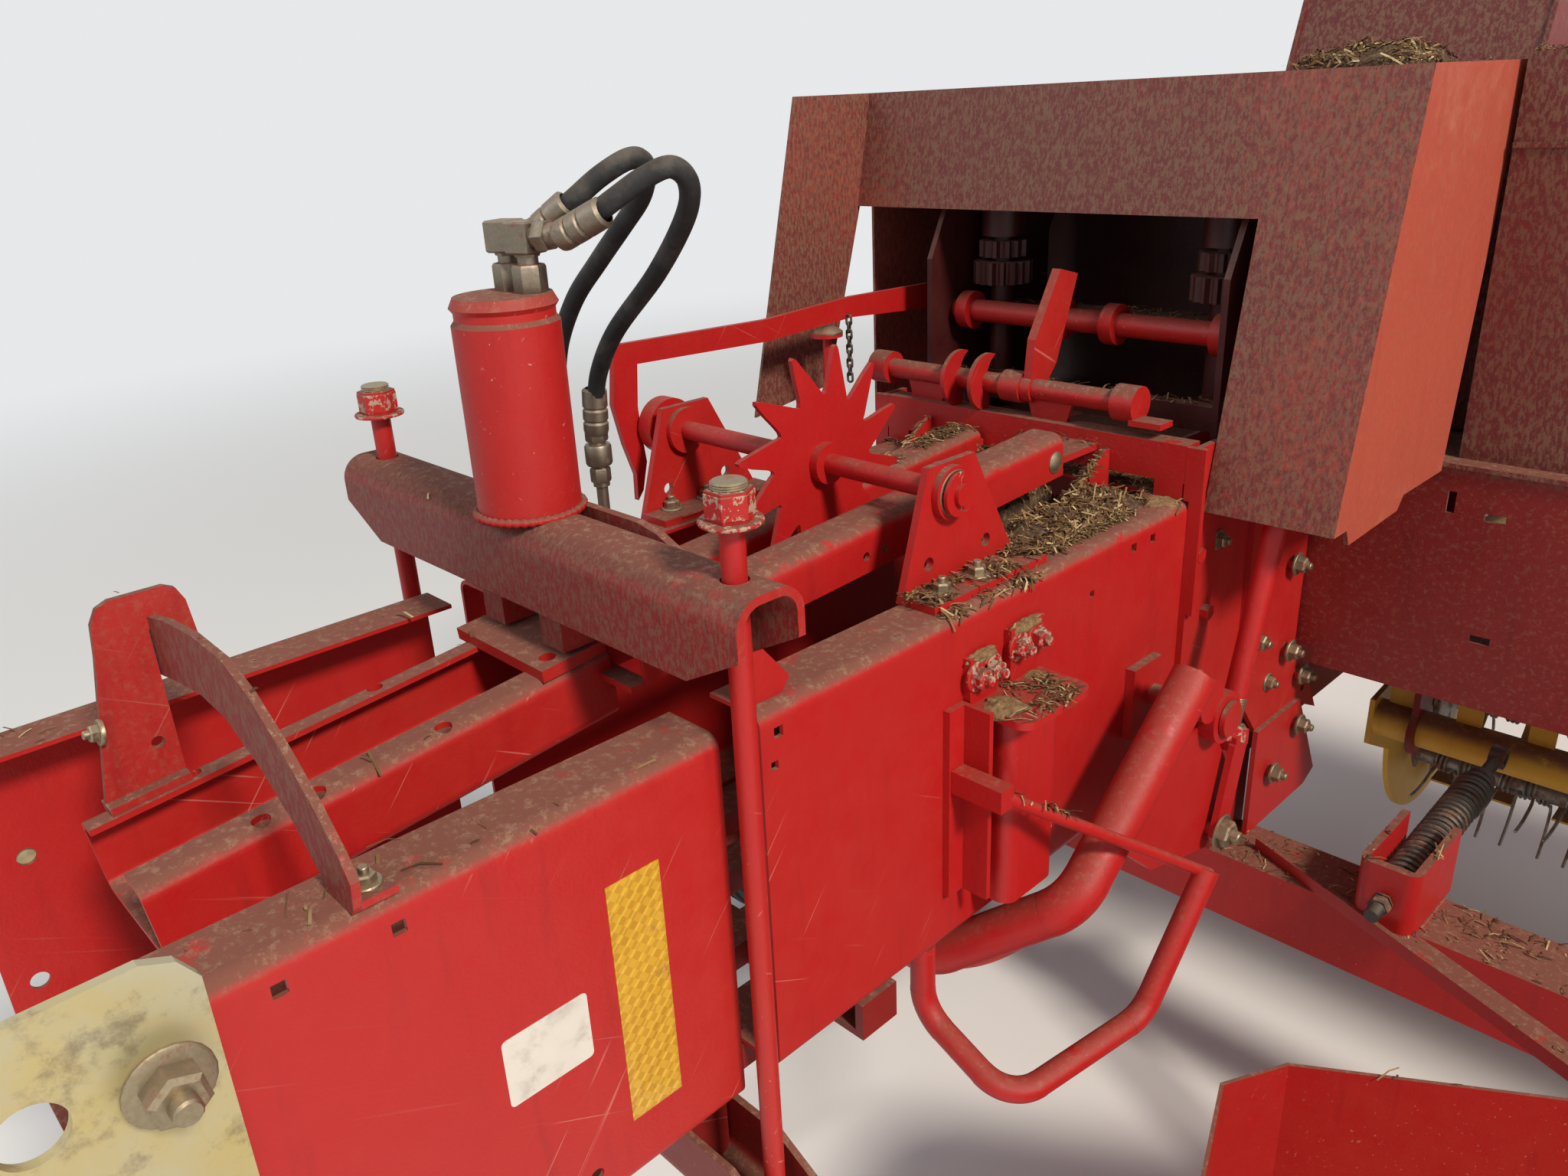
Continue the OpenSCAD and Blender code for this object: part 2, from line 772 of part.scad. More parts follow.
module gear_wheel(z, r, h, n) {
    translate([0, 0, z])
        linear_extrude(height = h)
            polygon([for (i = [0 : n - 1], p = [[0.1, r * 0.86], [0.35, r], [0.65, r], [0.9, r * 0.86]])
                [p[1] * cos((i + p[0]) * 360 / n), p[1] * sin((i + p[0]) * 360 / n)]]);
}

module twister(x) {
    translate([x, twister_y, 0]) {
        translate([0, 0, 70]) cylinder(h = 330, d = 32);
        gear_wheel(200, 41, 30, 16);
        gear_wheel(236, 34, 22, 12);
        translate([0, 0, 264]) cylinder(h = 58, d = 60);
        translate([0, 0, 346]) cylinder(h = 14, d = 50);
        // hook at the lower end
        translate([0, 0, 62]) cylinder(h = 16, d = 40);
        translate([14, -6, 36]) cube([12, 12, 30]);
    }
}

module right_twister() {
    color(dark_red) at_case() twister(twister_x);
}

module left_twister() {
    color(dark_red) at_case() twister(-twister_x);
}

module tucker_shaft() {
    color(dark_red)
        at_case() {
            bar([-240, shaft_y, shaft_z], [284, shaft_y, shaft_z], 30);
            for (x = [-190, -40, 40, 190])
                disc_x(x, shaft_y, shaft_z, 52, 18);
            // crank with the pin that lifts the needles
            along_x(270, 284) {
                translate([shaft_y, shaft_z]) circle(d = 44);
                translate(crank_pin) circle(d = 30);
                polygon([[shaft_y - 17, shaft_z + 13], [shaft_y + 17, shaft_z - 13],
                    [crank_pin.x + 12, crank_pin.y - 9],
                    [crank_pin.x - 12, crank_pin.y + 9]]);
            }
            bar([283, crank_pin.x, crank_pin.y], [298.7, crank_pin.x, crank_pin.y], 20);
        }
}

// point on the needle circle in the Y, Z plane
function on_circle(a, r) = [pivot_y + r * cos(a), pivot_z + r * sin(a)];

module needle(x) {
    tip = home_a + 112;
    translate([x, pivot_y, pivot_z])
        rotate([90, 0, 90])
            rotate(home_a)
                rotate_extrude(angle = 112, $fn = 96)
                    translate([needle_r, 0])
                        circle(d = 26);
    translate([x, pivot_y, pivot_z])
        rotate([tip, 0, 0])
            translate([0, needle_r, -1])
                cylinder(h = 40, d1 = 24, d2 = 10);
}

module needle_yoke() {
    color(red)
        at_case() {
            low = on_circle(home_a, needle_r);
            difference() {
                union() {
                    pipe([[yoke_x, 712, -158], [yoke_x, 490, -338], [yoke_x - 140, low.x, low.y],
                        [-yoke_x + 140, low.x, low.y], [-yoke_x, 490, -338],
                            [-yoke_x, 712, -158]], yoke_d, 60);
                    for (s = [-1, 1]) {
                        disc_x(s * yoke_x, pivot_y, pivot_z, 62, 50);
                        disc_x(s * yoke_x, 716, -184, 50, 44);
                    }
                    // gusset with the ear for the lift rod
                    along_x(yoke_x - 6, yoke_x + 6)
                        polygon([[700, -215], [760, -240], [800, -300], [796, -385], [770, -408], [640, -372],
                            [580, -320], [600, -262]]);
                }
                for (s = [-1, 1])
                    disc_x(s * yoke_x, pivot_y, pivot_z, pivot_d + 0.1, 120);
                disc_x(yoke_x, lift_pin.x, lift_pin.y, 18, 60);
            }
            for (x = [-needle_gap / 2, needle_gap / 2])
                needle(x);
        }
}

module lift_rod() {
    color(red)
        at_case() {
            bar([yoke_x, 806, -270], [yoke_x, crank_pin.x - 5, crank_pin.y - 16], 26);
            bar([yoke_x - 13, crank_pin.x, crank_pin.y], [yoke_x + 13, crank_pin.x, crank_pin.y], 46);
            for (s = [-1, 1])
                translate([yoke_x + s * 17 - 4, 0, 0])
                    rotate([90, 0, 90])
                        linear_extrude(height = 8)
                            polygon([[758, -384], [770, -400], [790, -392], [820, -278], [800, -262],
                                [788, -272]]);
            block([yoke_x - 21, 790, -282], [yoke_x + 21, 822, -262]);
            disc_x(yoke_x, lift_pin.x, lift_pin.y, 17.9, 56);
        }
}

module needle_guard() {
    color(red)
        at_case() {
            block([half_out + 8.3, 374, -178], [300, 393.7, -154]);
            bar([292, 386, -166], [385, 640, -345], 13);
            pipe([[385, 634, -336], [372, 540, -480], [330, 360, -500], [215, 362, -450], [215, 362, -364.3]],
                27, 45);
        }
}

module hay_dog_box() {
    x0 = half_out + 0.3;
    // rounded channel with the spring inside
    translate([0, 0, -318])
        linear_extrude(height = 218) {
            translate([x0, 418]) square([31, 84]);
            translate([x0, 434]) square([47, 52]);
            for (y = [434, 486])
                translate([x0 + 31, y]) circle(16);
        }
    // strip with a bent edge behind it
    block([x0, 372, -300], [half_out + 8, 400, -90]);
    block([x0, 394, -300], [half_out + 38, 400, -90]);
    // cap with its two lugs on the side sheet
    translate([0, 0, -102])
        linear_extrude(height = 8) {
            translate([x0, 404]) square([58, 112]);
            translate([x0, 420]) square([74, 80]);
            for (y = [420, 500])
                translate([x0 + 58, y]) circle(16);
        }
    for (p = [[402, 444, -46], [466, 520, -38]])
        block([x0, p.x, -95], [half_out + 9, p.y, p.z]);
    for (p = [[412, -66], [434, -66], [478, -58], [508, -58]])
        head_x(half_out + 8.5, p.x, p.y, 18, 9);
    // lower lug with two bolts
    block([x0, 502, -300], [half_out + 9, 532, -210]);
    for (z = [-232, -280])
        head_x(half_out + 8.5, 518, z, 18, 9);
}

module hay_dogs() {
    color(red)
        at_case() {
            hay_dog_box();
            mirror([1, 0, 0]) hay_dog_box();
        }
}

// hooked plate on the left lip of the rear rail, and the curved bar from it to the right side sheet
module bale_guide() {
    color(red)
        at_case() {
            along_x(-64, -58)
                difference() {
                    polygon([[-261, -19.3], [-240, 100], [-237, 124], [-231, 135], [-222, 139],
                        [-184, 139], [-176, 135],
                        [-171, 124], [-166, 70], [-186, 70], [-186, 108], [-190, 116], [-197, 116],
                            [-201, 108],
                        [-201, -13.6]]);
                    translate([-215, 20]) circle(5);
                }
            translate([0, rail_y, rail_z])
                rotate([rail_slope, 0, 0])
                    block([-67, -322, 0.3], [-46, -262, 6]);
            along_y(-200, -194)
                polygon([[-64, 118], [-20, 127], [40, 133], [93, 131], [130, 118], [170, 93], [205, 65],
                    [228, 42],
                    [238, 26], [234, 6], [230, 0.3], [196, 0.3], [188, 12], [160, 38], [120, 62],
                        [72, 81], [30, 84],
                    [-20, 78], [-64, 70]]);
            block([198, -196, 0.3], [230, -168, 6]);
        }
}

// plate at the rear end that takes a bale chute or a wagon hitch
module rear_hitch_plate() {
    difference() {
        along_x(half_out + 0.3, half_out + 8)
            polygon([[-290, -200], [-290, 16], [-300, 32], [-318, 40], [-392, 40], [-412, 30],
                [-420, 8], [-420, -160],
                [-408, -190], [-380, -200]]);
        for (p = [[-386, -28, 38], [-386, -130, 38]])
            disc_x(half_out, p.x, p.y, p.z, 40);
    }
    for (z = [-30, -150])
        head_x(half_out + 7.5, -318, z, 30, 14);
}

module rear_hitch_plates() {
    color(zinc)
        at_case()
            for (s = [0, 1])
                mirror([s, 0, 0]) rear_hitch_plate();
}

module plunger() {
    color(dark_red)
        at_case() {
            block([-half_in + 6, 1930, -case_h + 10], [half_in - 6, 2380, -12]);
            // skids it slides on
            for (x = [-200, 160])
                block([x, 1940, -case_h + sheet_t + 0.3], [x + 40, 2370, -case_h + 11]);
        }
}

// side outline of the upper feed housing, set in by d
module housing_side(d) {
    y2 = feed_y0 + 24;
    z1 = hood_h + 8;
    polygon([[y2 + d, -150], [y2 + d, z1 - d], [1500, z1 - d], [1730 - d, z1 - 110 - d * 0.3],
        [feed_y1 - d, 40], [feed_y1 - d, -150]]);
}

module feed_housing() {
    x2 = hood_x1 + 8;
    y2 = feed_y0 + 24;
    color(red)
        at_case()
            difference() {
                union() {
                    block([feed_x0, feed_y0, -325], [feed_x1, feed_y0 + 310, -4]);
                    along_x(x2, feed_x1) housing_side(0);
                    // flange on the side of the plunger case
                    block([half_out + 0.3, feed_y0, -300], [feed_x0 + 1, feed_y0 + 4, -20]);
                    // seam of the upper sheet, and the lip on the ledge
                    block([x2, y2 - 3, 362], [feed_x1, y2 + 1, 368]);
                    block([feed_x0, feed_y0 - 6, -10], [feed_x1, feed_y0 + 1, -4]);
                    // ribs and hinge eyes of the top cover
                    for (x = [x2 + 60, (x2 + feed_x1) / 2, feed_x1 - 90])
                        block([x, y2 + 30, hood_h + 7], [x + 30, 1490, hood_h + 14]);
                    // stiffening ribs of the right end
                    for (y = [1290, 1500])
                        block([feed_x1 - 1, y, -140], [feed_x1 + 8, y + 30, hood_h - 60]);
                }
                // hollow behind, open to the pickup and to the case
                block([feed_x0 - 1, feed_y0 + 4, -321], [feed_x1 - 4, feed_y0 + 311, -8]);
                along_x(x2 + 4, feed_x1 - 4) translate([0, -1]) housing_side(4);
                block([x2 - 1, feed_y0 + 180, -151], [feed_x1 - 4, feed_y1 + 1, 60]);
                // slots in the rear sheet: lowest corner and size in X and Z
                for (slot = [[403, -69, 10, 28], [448, -72, 24, 10], [456, -234, 24, 10]])
                    translate([slot[0], feed_y0 - 1, slot[1]]) cube([slot[2], 7, slot[3]]);
            }
}

// side outline of the tall shield, set in by d
module shield_side(d) {
    polygon([[1310 + d, 0.3], [1310 + d, 455], [1400 + d, 690 - d], [1640 - d, 690 - d],
        [1700 - d, 560], [1700 - d, 0.3]]);
}

module tall_shield() {
    color(dark_red)
        at_case()
            difference() {
                union() {
                    along_x(75, 380) shield_side(0);
                    // folded seams
                    for (x = [72, 377])
                        along_x(x, x + 6)
                            difference() {
                                shield_side(-3);
                                shield_side(14);
                            }
                }
                along_x(79, 376) translate([0, -0.5]) shield_side(4);
                translate([0, 0, -20]) cube([2000, 4000, 40.6], center = true);
            }
}

module pickup_frame() {
    color(yellow)
        at_case() {
            for (x = [pick_x0 - 8, pick_x1])
                along_x(x, x + 8)
                    difference() {
                        union() {
                            translate([reel_y, reel_z]) circle(230);
                            polygon([[reel_y - 330, reel_z + 20], [reel_y + 100, reel_z - 210],
                                [reel_y + 330, reel_z + 20], [reel_y + 330, reel_z + 180],
                                    [reel_y - 330, reel_z + 100]]);
                        }
                        translate([reel_y, reel_z]) circle(25.05);
                    }
            // gauge wheel arm and spindle
            block([pick_x1 + 8, gauge_y - 30, gauge_z - 30], [pick_x1 + 20, gauge_y + 30, reel_z + 40]);
            bar([pick_x1 + 8, gauge_y, gauge_z], [gauge_x + 60, gauge_y, gauge_z], 25);
            // arms that carry the wind guard
            for (x = [pick_x0 - 8, pick_x1])
                block([x, reel_y + 130, reel_z + 150], [x + 8, reel_y + 170, reel_z + 320]);
        }
}

module strippers() {
    color(yellow)
        at_case()
            {
                for (i = [0 : tines_per_bar])
                    let (x = pick_x0 + 12 + i * tine_pitch)
                        along_x(x, x + 36)
                            difference() {
                                union() {
                                    translate([reel_y, reel_z]) circle(stripper_r);
                                    translate([bar_y, reel_z + 30]) square([reel_y - bar_y, stripper_r - 30]);
                                }
                                translate([reel_y, reel_z]) circle(stripper_r - 4);
                                translate([bar_y + 4, reel_z - 200]) square([reel_y - bar_y - 4,
                                    196 + stripper_r]);
                                translate([bar_y - 1, reel_z - 300]) square([reel_y - bar_y, 300]);
                            }
                bar([pick_x0, bar_y, bar_z], [pick_x1, bar_y, bar_z], 60);
            }
}

module tine_reel() {
    color(steel)
        at_case()
            translate([0, reel_y, reel_z]) {
                bar([pick_x0 - 6, 0, 0], [pick_x1 + 6, 0, 0], 50);
                for (i = [0 : tine_bars - 1])
                    rotate([i * 360 / tine_bars, 0, 0]) {
                        bar([pick_x0 + 20, 0, 150], [pick_x1 - 20, 0, 150], 28);
                        for (j = [0 : tines_per_bar - 1])
                            translate([pick_x0 + 30 + (j + 0.5) * tine_pitch - 3, -3, 150])
                                cube([6, 6, tine_r - 150]);
                    }
                for (x = [pick_x0 + 14, pick_x1 - 26])
                    translate([x, 0, 0])
                        rotate([0, 90, 0])
                            cylinder(h = 12, r = 166);
            }
}

module wind_guard() {
    color(yellow)
        at_case() {
            bar([pick_x0 + 0.3, reel_y + 150, reel_z + 300], [pick_x1 - 0.3, reel_y + 150, reel_z + 300], 30);
            for (i = [0 : 9])
                let (x = pick_x0 + 60 + i * (pickup_w - 120) / 9)
                    bar([x, reel_y + 150, reel_z + 300], [x, reel_y - 60, reel_z + 270], 12);
            for (x = [pick_x0 + 34, pick_x1 - 34])
                bar([x, reel_y + 150, reel_z + 300], [x, reel_y - 60, reel_z + 330], 24);
        }
}

// a tyre with its rim, centred on the origin, axis along X
module wheel(d, w, rim_d, bore) {
    rotate([0, 90, 0])
        difference() {
            rotate_extrude()
                polygon([[bore / 2, -w * 0.12], [rim_d * 0.2, -w * 0.16], [rim_d * 0.24, -w * 0.05],
                    [rim_d / 2 - 20, -w * 0.02], [rim_d / 2 - 14, -w * 0.38], [rim_d / 2, -w * 0.4],
                    [rim_d / 2 + 16, -w * 0.46], [d * 0.4, -w * 0.5], [d * 0.46, -w * 0.47],
                        [d / 2 - 8, -w * 0.4],
                    [d / 2, -w * 0.3], [d / 2, w * 0.3], [d / 2 - 8, w * 0.4], [d * 0.46, w * 0.47],
                    [d * 0.4, w * 0.5], [rim_d / 2 + 16, w * 0.46], [rim_d / 2, w * 0.4],
                        [rim_d / 2 - 14, w * 0.38],
                    [rim_d / 2 - 20, w * 0.05], [rim_d * 0.24, w * 0.05], [rim_d * 0.2, w * 0.2],
                    [bore / 2, w * 0.2]]);
        }
}

module left_wheel() {
    color(rubber)
        at_case()
            translate([-left_wheel_x, axle_y, left_hub_z])
                wheel(left_tyre_d, left_tyre_w, 400, 40.1);
}

module right_wheel() {
    color(rubber)
        at_case()
            translate([right_wheel_x, axle_y, right_hub_z])
                wheel(right_tyre_d, right_tyre_w, 400, 40.1);
}

module gauge_wheel() {
    color(rubber)
        at_case()
            translate([gauge_x, gauge_y, gauge_z])
                wheel(gauge_d, 140, 160, 25.1);
}

// the place where the brace meets the slanted side of the wire box, X along that side
module on_box_front() {
    a = box_plan[3];
    b = box_plan[2];
    middle = a + (b - a) * brace_share;
    translate(box_place)
        rotate(box_turn)
            translate(middle)
                rotate(atan2(b.y - a.y, b.x - a.x))
                    children();
}

module axle_beam() {
    s = axle_side / 2;
    color(red)
        at_case() {
            block([-left_wheel_x + 120, axle_y - s, axle_z - s],
                [right_wheel_x - 120, axle_y + s, axle_z + s]);
            // drop plates and spindles
            for (p = [[-left_wheel_x, left_hub_z, 1], [right_wheel_x, right_hub_z, -1]]) {
                block([p.x + p.z * 130 - 14, axle_y - s, min(p.y - 45, axle_z - s)],
                    [p.x + p.z * 130 + 14, axle_y + s, max(p.y + 45, axle_z + s)]);
                bar([p.x - p.z * 40, axle_y, p.y], [p.x + p.z * 130, axle_y, p.y], 40);
            }
            // U-shaped bracket of the lift spring, welded to the beam
            translate([spring_x, 0, 0])
                difference() {
                    translate([0, 0, axle_z + s - 1])
                        linear_extrude(height = 96)
                            difference() {
                                union() {
                                    translate([-37, 978]) square([74, 132]);
                                    translate([-21, 962]) square([42, 30]);
                                    for (x = [-21, 21])
                                        translate([x, 978]) circle(16);
                                }
                                translate([-27, 974]) square([54, 140]);
                            }
                    translate([0, 925, spring_z]) rotate([-87, 0, 0]) cylinder(h = 80, d = 18.4);
                }
            // angle brace from the top of the beam out to the wire box, with its end plate
            difference() {
                translate([brace_foot.x, brace_foot.y, axle_z + s - 1])
                    rotate(brace_turn) {
                        block([-165, -22, 0], [brace_len, 22, 7]);
                        block([-165, -22, 0], [brace_len, -15, 19]);
                    }
                on_box_front() block([-200, -200, axle_z], [200, 0.3, axle_z + 100]);
            }
            // short arm from the beam to the outer corner of the box
            difference() {
                block([box_arm_x - 22, 800, axle_z - 20], [box_arm_x + 22, axle_y - s + 1, axle_z + 20]);
                on_box_front() block([-500, -300, axle_z - 60], [500, 0.3, axle_z + 60]);
            }
            on_box_front() block([-45, 0.3, axle_z + s - 24], [45, 8, axle_z + s + 24]);
        }
}

// longitudinal members below the case, with the hitch cheeks of the tongue
module main_frame() {
    s = axle_side / 2;
    color(dark_red)
        at_case() {
            for (x = [-1, 1]) {
                block([x * 200 - 25, axle_y - s, -case_h - 80], [x * 200 + 25, 2760, -case_h - 4]);
                block([x * 200 - 25, axle_y - s, axle_z + s + 0.2], [x * 200 + 25, axle_y + s, -case_h - 79]);
                block([x * 200 - 25, axle_y - s, -case_h - 5], [x * 200 + 25, axle_y + s, -case_h - 0.2]);
            }
            block([-225, 2330, -case_h - 80], [225, 2440, -case_h - 4]);
            difference() {
                block([tongue_x - 80, 2305, tongue_z - 76], [tongue_x + 80, 2460, -case_h - 79]);
                block([tongue_x - 81, 2325, tongue_z - 56], [tongue_x + 81, 2461, tongue_z + 56]);
            }
            translate([tongue_x, 2390, tongue_z - 70]) cylinder(h = 140, d = 40);
        }
}

module pickup_hangers() {
    color(dark_red)
        at_case()
            for (x = [pick_x0 + 56, pick_x1 - 74])
                along_x(x, x + 10)
                    difference() {
                        union() {
                            translate([bar_y, bar_z]) circle(44);
                            translate([bar_y - 30, bar_z]) square([60, -325.3 - bar_z]);
                        }
                        translate([bar_y, bar_z]) circle(30.05);
                    }
}

// tension spring of the pickup lift, on a rod through the bracket of the axle beam
module lift_spring() {
    coils = 26;
    pitch = 12;
    color(steel)
        at_case()
            translate([spring_x, 925, spring_z])
                rotate([-87, 0, 0]) {
                    cylinder(h = 470, d = 18);
                    translate([0, 0, 66])
                        rotate_extrude()
                            polygon([[6, 0], for (i = [0 : coils - 1], p = [[19, 0], [25, 4], [25, 8],
                                [19, 12]])
                                [p.x, i * pitch + p.y], [6, coils * pitch]]);
                    translate([0, 0, 462]) rotate([0, 90, 0]) cylinder(h = 20, d = 34, center = true);
                }
}

// corner b of a plan moved inwards by the wall t, between the sides a to b and b to c
function inner_corner(a, b, c, t) =
    let (u = unit(b - a), v = unit(c - b))
        b + (v - u) * t / cross(u, v);

// open box turned towards the brace, its fore side slanted
module wire_box() {
    n = len(box_plan);
    inner = [for (i = [0 : n - 1])
        inner_corner(box_plan[(i + n - 1) % n], box_plan[i], box_plan[(i + 1) % n], sheet_t)];
    color(red)
        at_case()
            translate([box_place.x, box_place.y, box_top - box_h])
                rotate(box_turn)
                    difference() {
                        linear_extrude(height = box_h) polygon(box_plan);
                        translate([0, 0, sheet_t]) linear_extrude(height = box_h) polygon(inner);
                    }
}

module tongue() {
    color(red)
        at_case() {
            difference() {
                union() {
                    block([tongue_x - 60, 2345, tongue_z - 50],
                        [tongue_x + 60, hitch_y - 100, tongue_z + 50]);
                    for (z = [-40, 15])
                        block([tongue_x - 40, hitch_y - 110, tongue_z + z],
                            [tongue_x + 40, hitch_y + 45, tongue_z + z + 25]);
                }
                translate([tongue_x, hitch_y, tongue_z - 100]) cylinder(h = 200, d = hitch_bore);
                translate([tongue_x, 2390, tongue_z - 100]) cylinder(h = 200, d = 40.1);
            }
            // jack sleeve
            difference() {
                union() {
                    translate([jack_x, jack_y, 340 - case_top]) cylinder(h = 620, d = 76);
                    block([jack_x, jack_y - 30, tongue_z - 40], [tongue_x - 59, jack_y + 30, tongue_z + 40]);
                }
                translate([jack_x, jack_y, 339 - case_top]) cylinder(h = 601, d = 60.1);
            }
            // cradle for the driveline
            translate([tongue_x + 20, cradle_y - 20, tongue_z]) {
                for (x = [-80, 80])
                    block([x - 5, 0, 49], [x + 5, 40, cradle_h]);
                for (z = [40, 108])
                    block([-85, 0, z], [85, 40, z + 10]);
            }
        }
}

module jack_leg() {
    color(steel)
        at_case() {
            translate([jack_x, jack_y, 10 - case_top]) cylinder(h = 590, d = 60);
            translate([jack_x, jack_y, -case_top]) cylinder(h = 12, d = 200);
        }
}

module gearbox() {
    y0 = plunger_y1 + 0.3;
    z0 = -case_h - 3.7;
    color(red)
        at_case()
            difference() {
                union() {
                    along_x(-170, 170)
                        polygon([[y0, z0], [2700, z0], [2760, z0 + 50], [2760, -110], [2690, -40],
                            [y0, -40]]);
                    // flange towards the plunger case
                    block([-200, y0, z0 + 8], [200, y0 + 14, -24]);
                    // round covers of the crankshaft bearings
                    for (s = [-1, 1]) {
                        disc_x(s * 176, 2580, -200, 250, 14);
                        disc_x(s * 190, 2580, -200, 120, 26);
                        for (i = [0 : 5])
                            head_x(s * 183 - 5, 2580 + 104 * cos(i * 60), -200 + 104 * sin(i * 60), 20, 10);
                    }
                    // fore bearing with its ribs
                    disc_y(0, 2740, drive_z, 200, 34);
                    disc_y(0, 2759, drive_z, 140, 86);
                    for (a = [45 : 90 : 315])
                        translate([0, 0, drive_z])
                            rotate([0, a, 0])
                                block([62, 2750, -6], [96, 2810, 6]);
                    translate([70, 2500, -44]) cylinder(h = 40, d = 60);
                }
                disc_y(0, 2720, drive_z, 60.1, 140);
            }
}

module flywheel() {
    color(red)
        at_case()
            translate([0, flywheel_y, drive_z])
                rotate([-90, 0, 0])
                    difference() {
                        rotate_extrude()
                            polygon([[0, 2750 - flywheel_y], [30, 2750 - flywheel_y], [30, -30],
                                [60, -30], [60, flywheel_w / 2 - 8],
                            [flywheel_d / 2 - 60, flywheel_w / 2 - 8], [flywheel_d / 2 - 60, 0],
                                [flywheel_d / 2, 0],
                            [flywheel_d / 2, flywheel_w], [flywheel_d / 2 - 60, flywheel_w],
                            [flywheel_d / 2 - 60, flywheel_w / 2 + 8], [60, flywheel_w / 2 + 8],
                                [60, flywheel_w + 20],
                            [30, flywheel_w + 20], [30, joint_y - 20 - flywheel_y],
                                [0, joint_y - 20 - flywheel_y]]);
                        for (i = [0 : 5])
                            rotate(i * 60)
                                translate([flywheel_d * 0.26, 0, -1]) cylinder(h = flywheel_w, d = 84);
                    }
}

module driveline() {
    a = [0, joint_y, drive_z];
    b = [tongue_x + 20, cradle_y, tongue_z + 130 + 5.5 + drive_guard_d / 2];
    v = unit(b - a);
    color(rubber)
        at_case() {
            bar(a + v * 150, b + v * 260, drive_guard_d);
            translate(a) sphere(d = 39.4);
            // cross pin of the universal joint
            translate([a.x, a.y, a.z - 32]) cylinder(h = 64, d = 16);
            bar(a, a + v * 160, 30);
            bar(a + v * 250, b + v * 330, 40);
        }
}

right_side_sheets();
left_side_sheets();
junction_plates();
plunger_case();
bottom_rails();
top_rails();
top_beam();
bottom_beam();
tie_rods();
density_cylinder();
hydraulic_lines();
star_wheel();
star_brackets();
metering_arm();
hood();
twister_frame();
right_twister();
left_twister();
tucker_shaft();
needle_yoke();
lift_rod();
needle_guard();
hay_dogs();
bale_guide();
rear_hitch_plates();
plunger();
feed_housing();
tall_shield();
pickup_frame();
strippers();
tine_reel();
wind_guard();
gauge_wheel();
axle_beam();
lift_spring();
wire_box();
main_frame();
pickup_hangers();
left_wheel();
right_wheel();
tongue();
jack_leg();
gearbox();
flywheel();
driveline();
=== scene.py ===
import json
import math
import random

import bmesh
import bpy
from mathutils import Matrix, Vector, noise


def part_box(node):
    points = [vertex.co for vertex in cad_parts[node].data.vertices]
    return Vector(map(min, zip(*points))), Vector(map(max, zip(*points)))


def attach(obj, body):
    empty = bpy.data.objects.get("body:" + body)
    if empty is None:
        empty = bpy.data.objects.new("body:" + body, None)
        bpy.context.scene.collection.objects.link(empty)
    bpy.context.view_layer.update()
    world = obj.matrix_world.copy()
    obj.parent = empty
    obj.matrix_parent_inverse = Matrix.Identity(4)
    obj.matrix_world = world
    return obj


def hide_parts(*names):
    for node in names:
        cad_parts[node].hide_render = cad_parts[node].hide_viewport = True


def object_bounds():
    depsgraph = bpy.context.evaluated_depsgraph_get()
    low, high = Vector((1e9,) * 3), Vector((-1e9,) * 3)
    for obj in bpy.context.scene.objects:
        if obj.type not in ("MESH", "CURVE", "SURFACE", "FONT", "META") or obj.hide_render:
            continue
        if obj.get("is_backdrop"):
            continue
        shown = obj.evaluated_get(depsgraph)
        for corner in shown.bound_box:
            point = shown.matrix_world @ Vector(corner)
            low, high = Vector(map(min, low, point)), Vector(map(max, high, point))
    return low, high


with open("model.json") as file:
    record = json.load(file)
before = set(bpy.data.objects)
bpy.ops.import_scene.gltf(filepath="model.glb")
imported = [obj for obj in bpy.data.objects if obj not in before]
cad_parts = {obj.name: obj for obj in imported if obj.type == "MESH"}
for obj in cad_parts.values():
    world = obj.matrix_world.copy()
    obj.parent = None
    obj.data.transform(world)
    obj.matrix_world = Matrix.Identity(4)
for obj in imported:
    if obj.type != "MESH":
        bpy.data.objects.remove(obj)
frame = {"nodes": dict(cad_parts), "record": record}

print("frame loaded:", len(frame["nodes"]), "nodes")
cadBox = [list(corner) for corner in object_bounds()]

# The bale case has its own axes in millimetres: x from its centre line, y forward, z up from its top.
caseShape = {"half": 232.5, "rear": 345}  # half the width, and the way from the rear end to the axes
caseLow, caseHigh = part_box("left_side_sheets")
caseOrigin = Vector((caseLow.x + caseShape["half"] / 1000, caseLow.y + caseShape["rear"] / 1000, caseHigh.z))
bodies = frame["record"]["behaviour"]["bodies"]


def at(x, y, z):
    return caseOrigin + Vector((x, y, z)) / 1000


# camera

camera = {
    "place": (858.5, -412.7, 449.1),  # in the axes of the bale case
    "forward": (-0.6754, 0.6331, -0.3781),
    "roll": -2.889,
    "lens": 27.285,
}


def makeCamera(c):
    data = bpy.data.cameras.new("camera")
    data.lens = c["lens"]
    data.sensor_width = 36
    data.clip_start = 0.02
    data.clip_end = 100
    forward = Vector(c["forward"]).normalized()
    side = forward.cross(Vector((0, 0, 1))).normalized()
    up = side.cross(forward)
    roll = math.radians(c["roll"])
    right = side * math.cos(roll) + up * math.sin(roll)
    up = right.cross(forward)
    turn = Matrix((right, up, -forward)).transposed().to_4x4()
    obj = bpy.data.objects.new("camera", data)
    obj.matrix_world = Matrix.Translation(at(*c["place"])) @ turn
    bpy.context.collection.objects.link(obj)
    bpy.context.scene.camera = obj


makeCamera(camera)

# shader maths


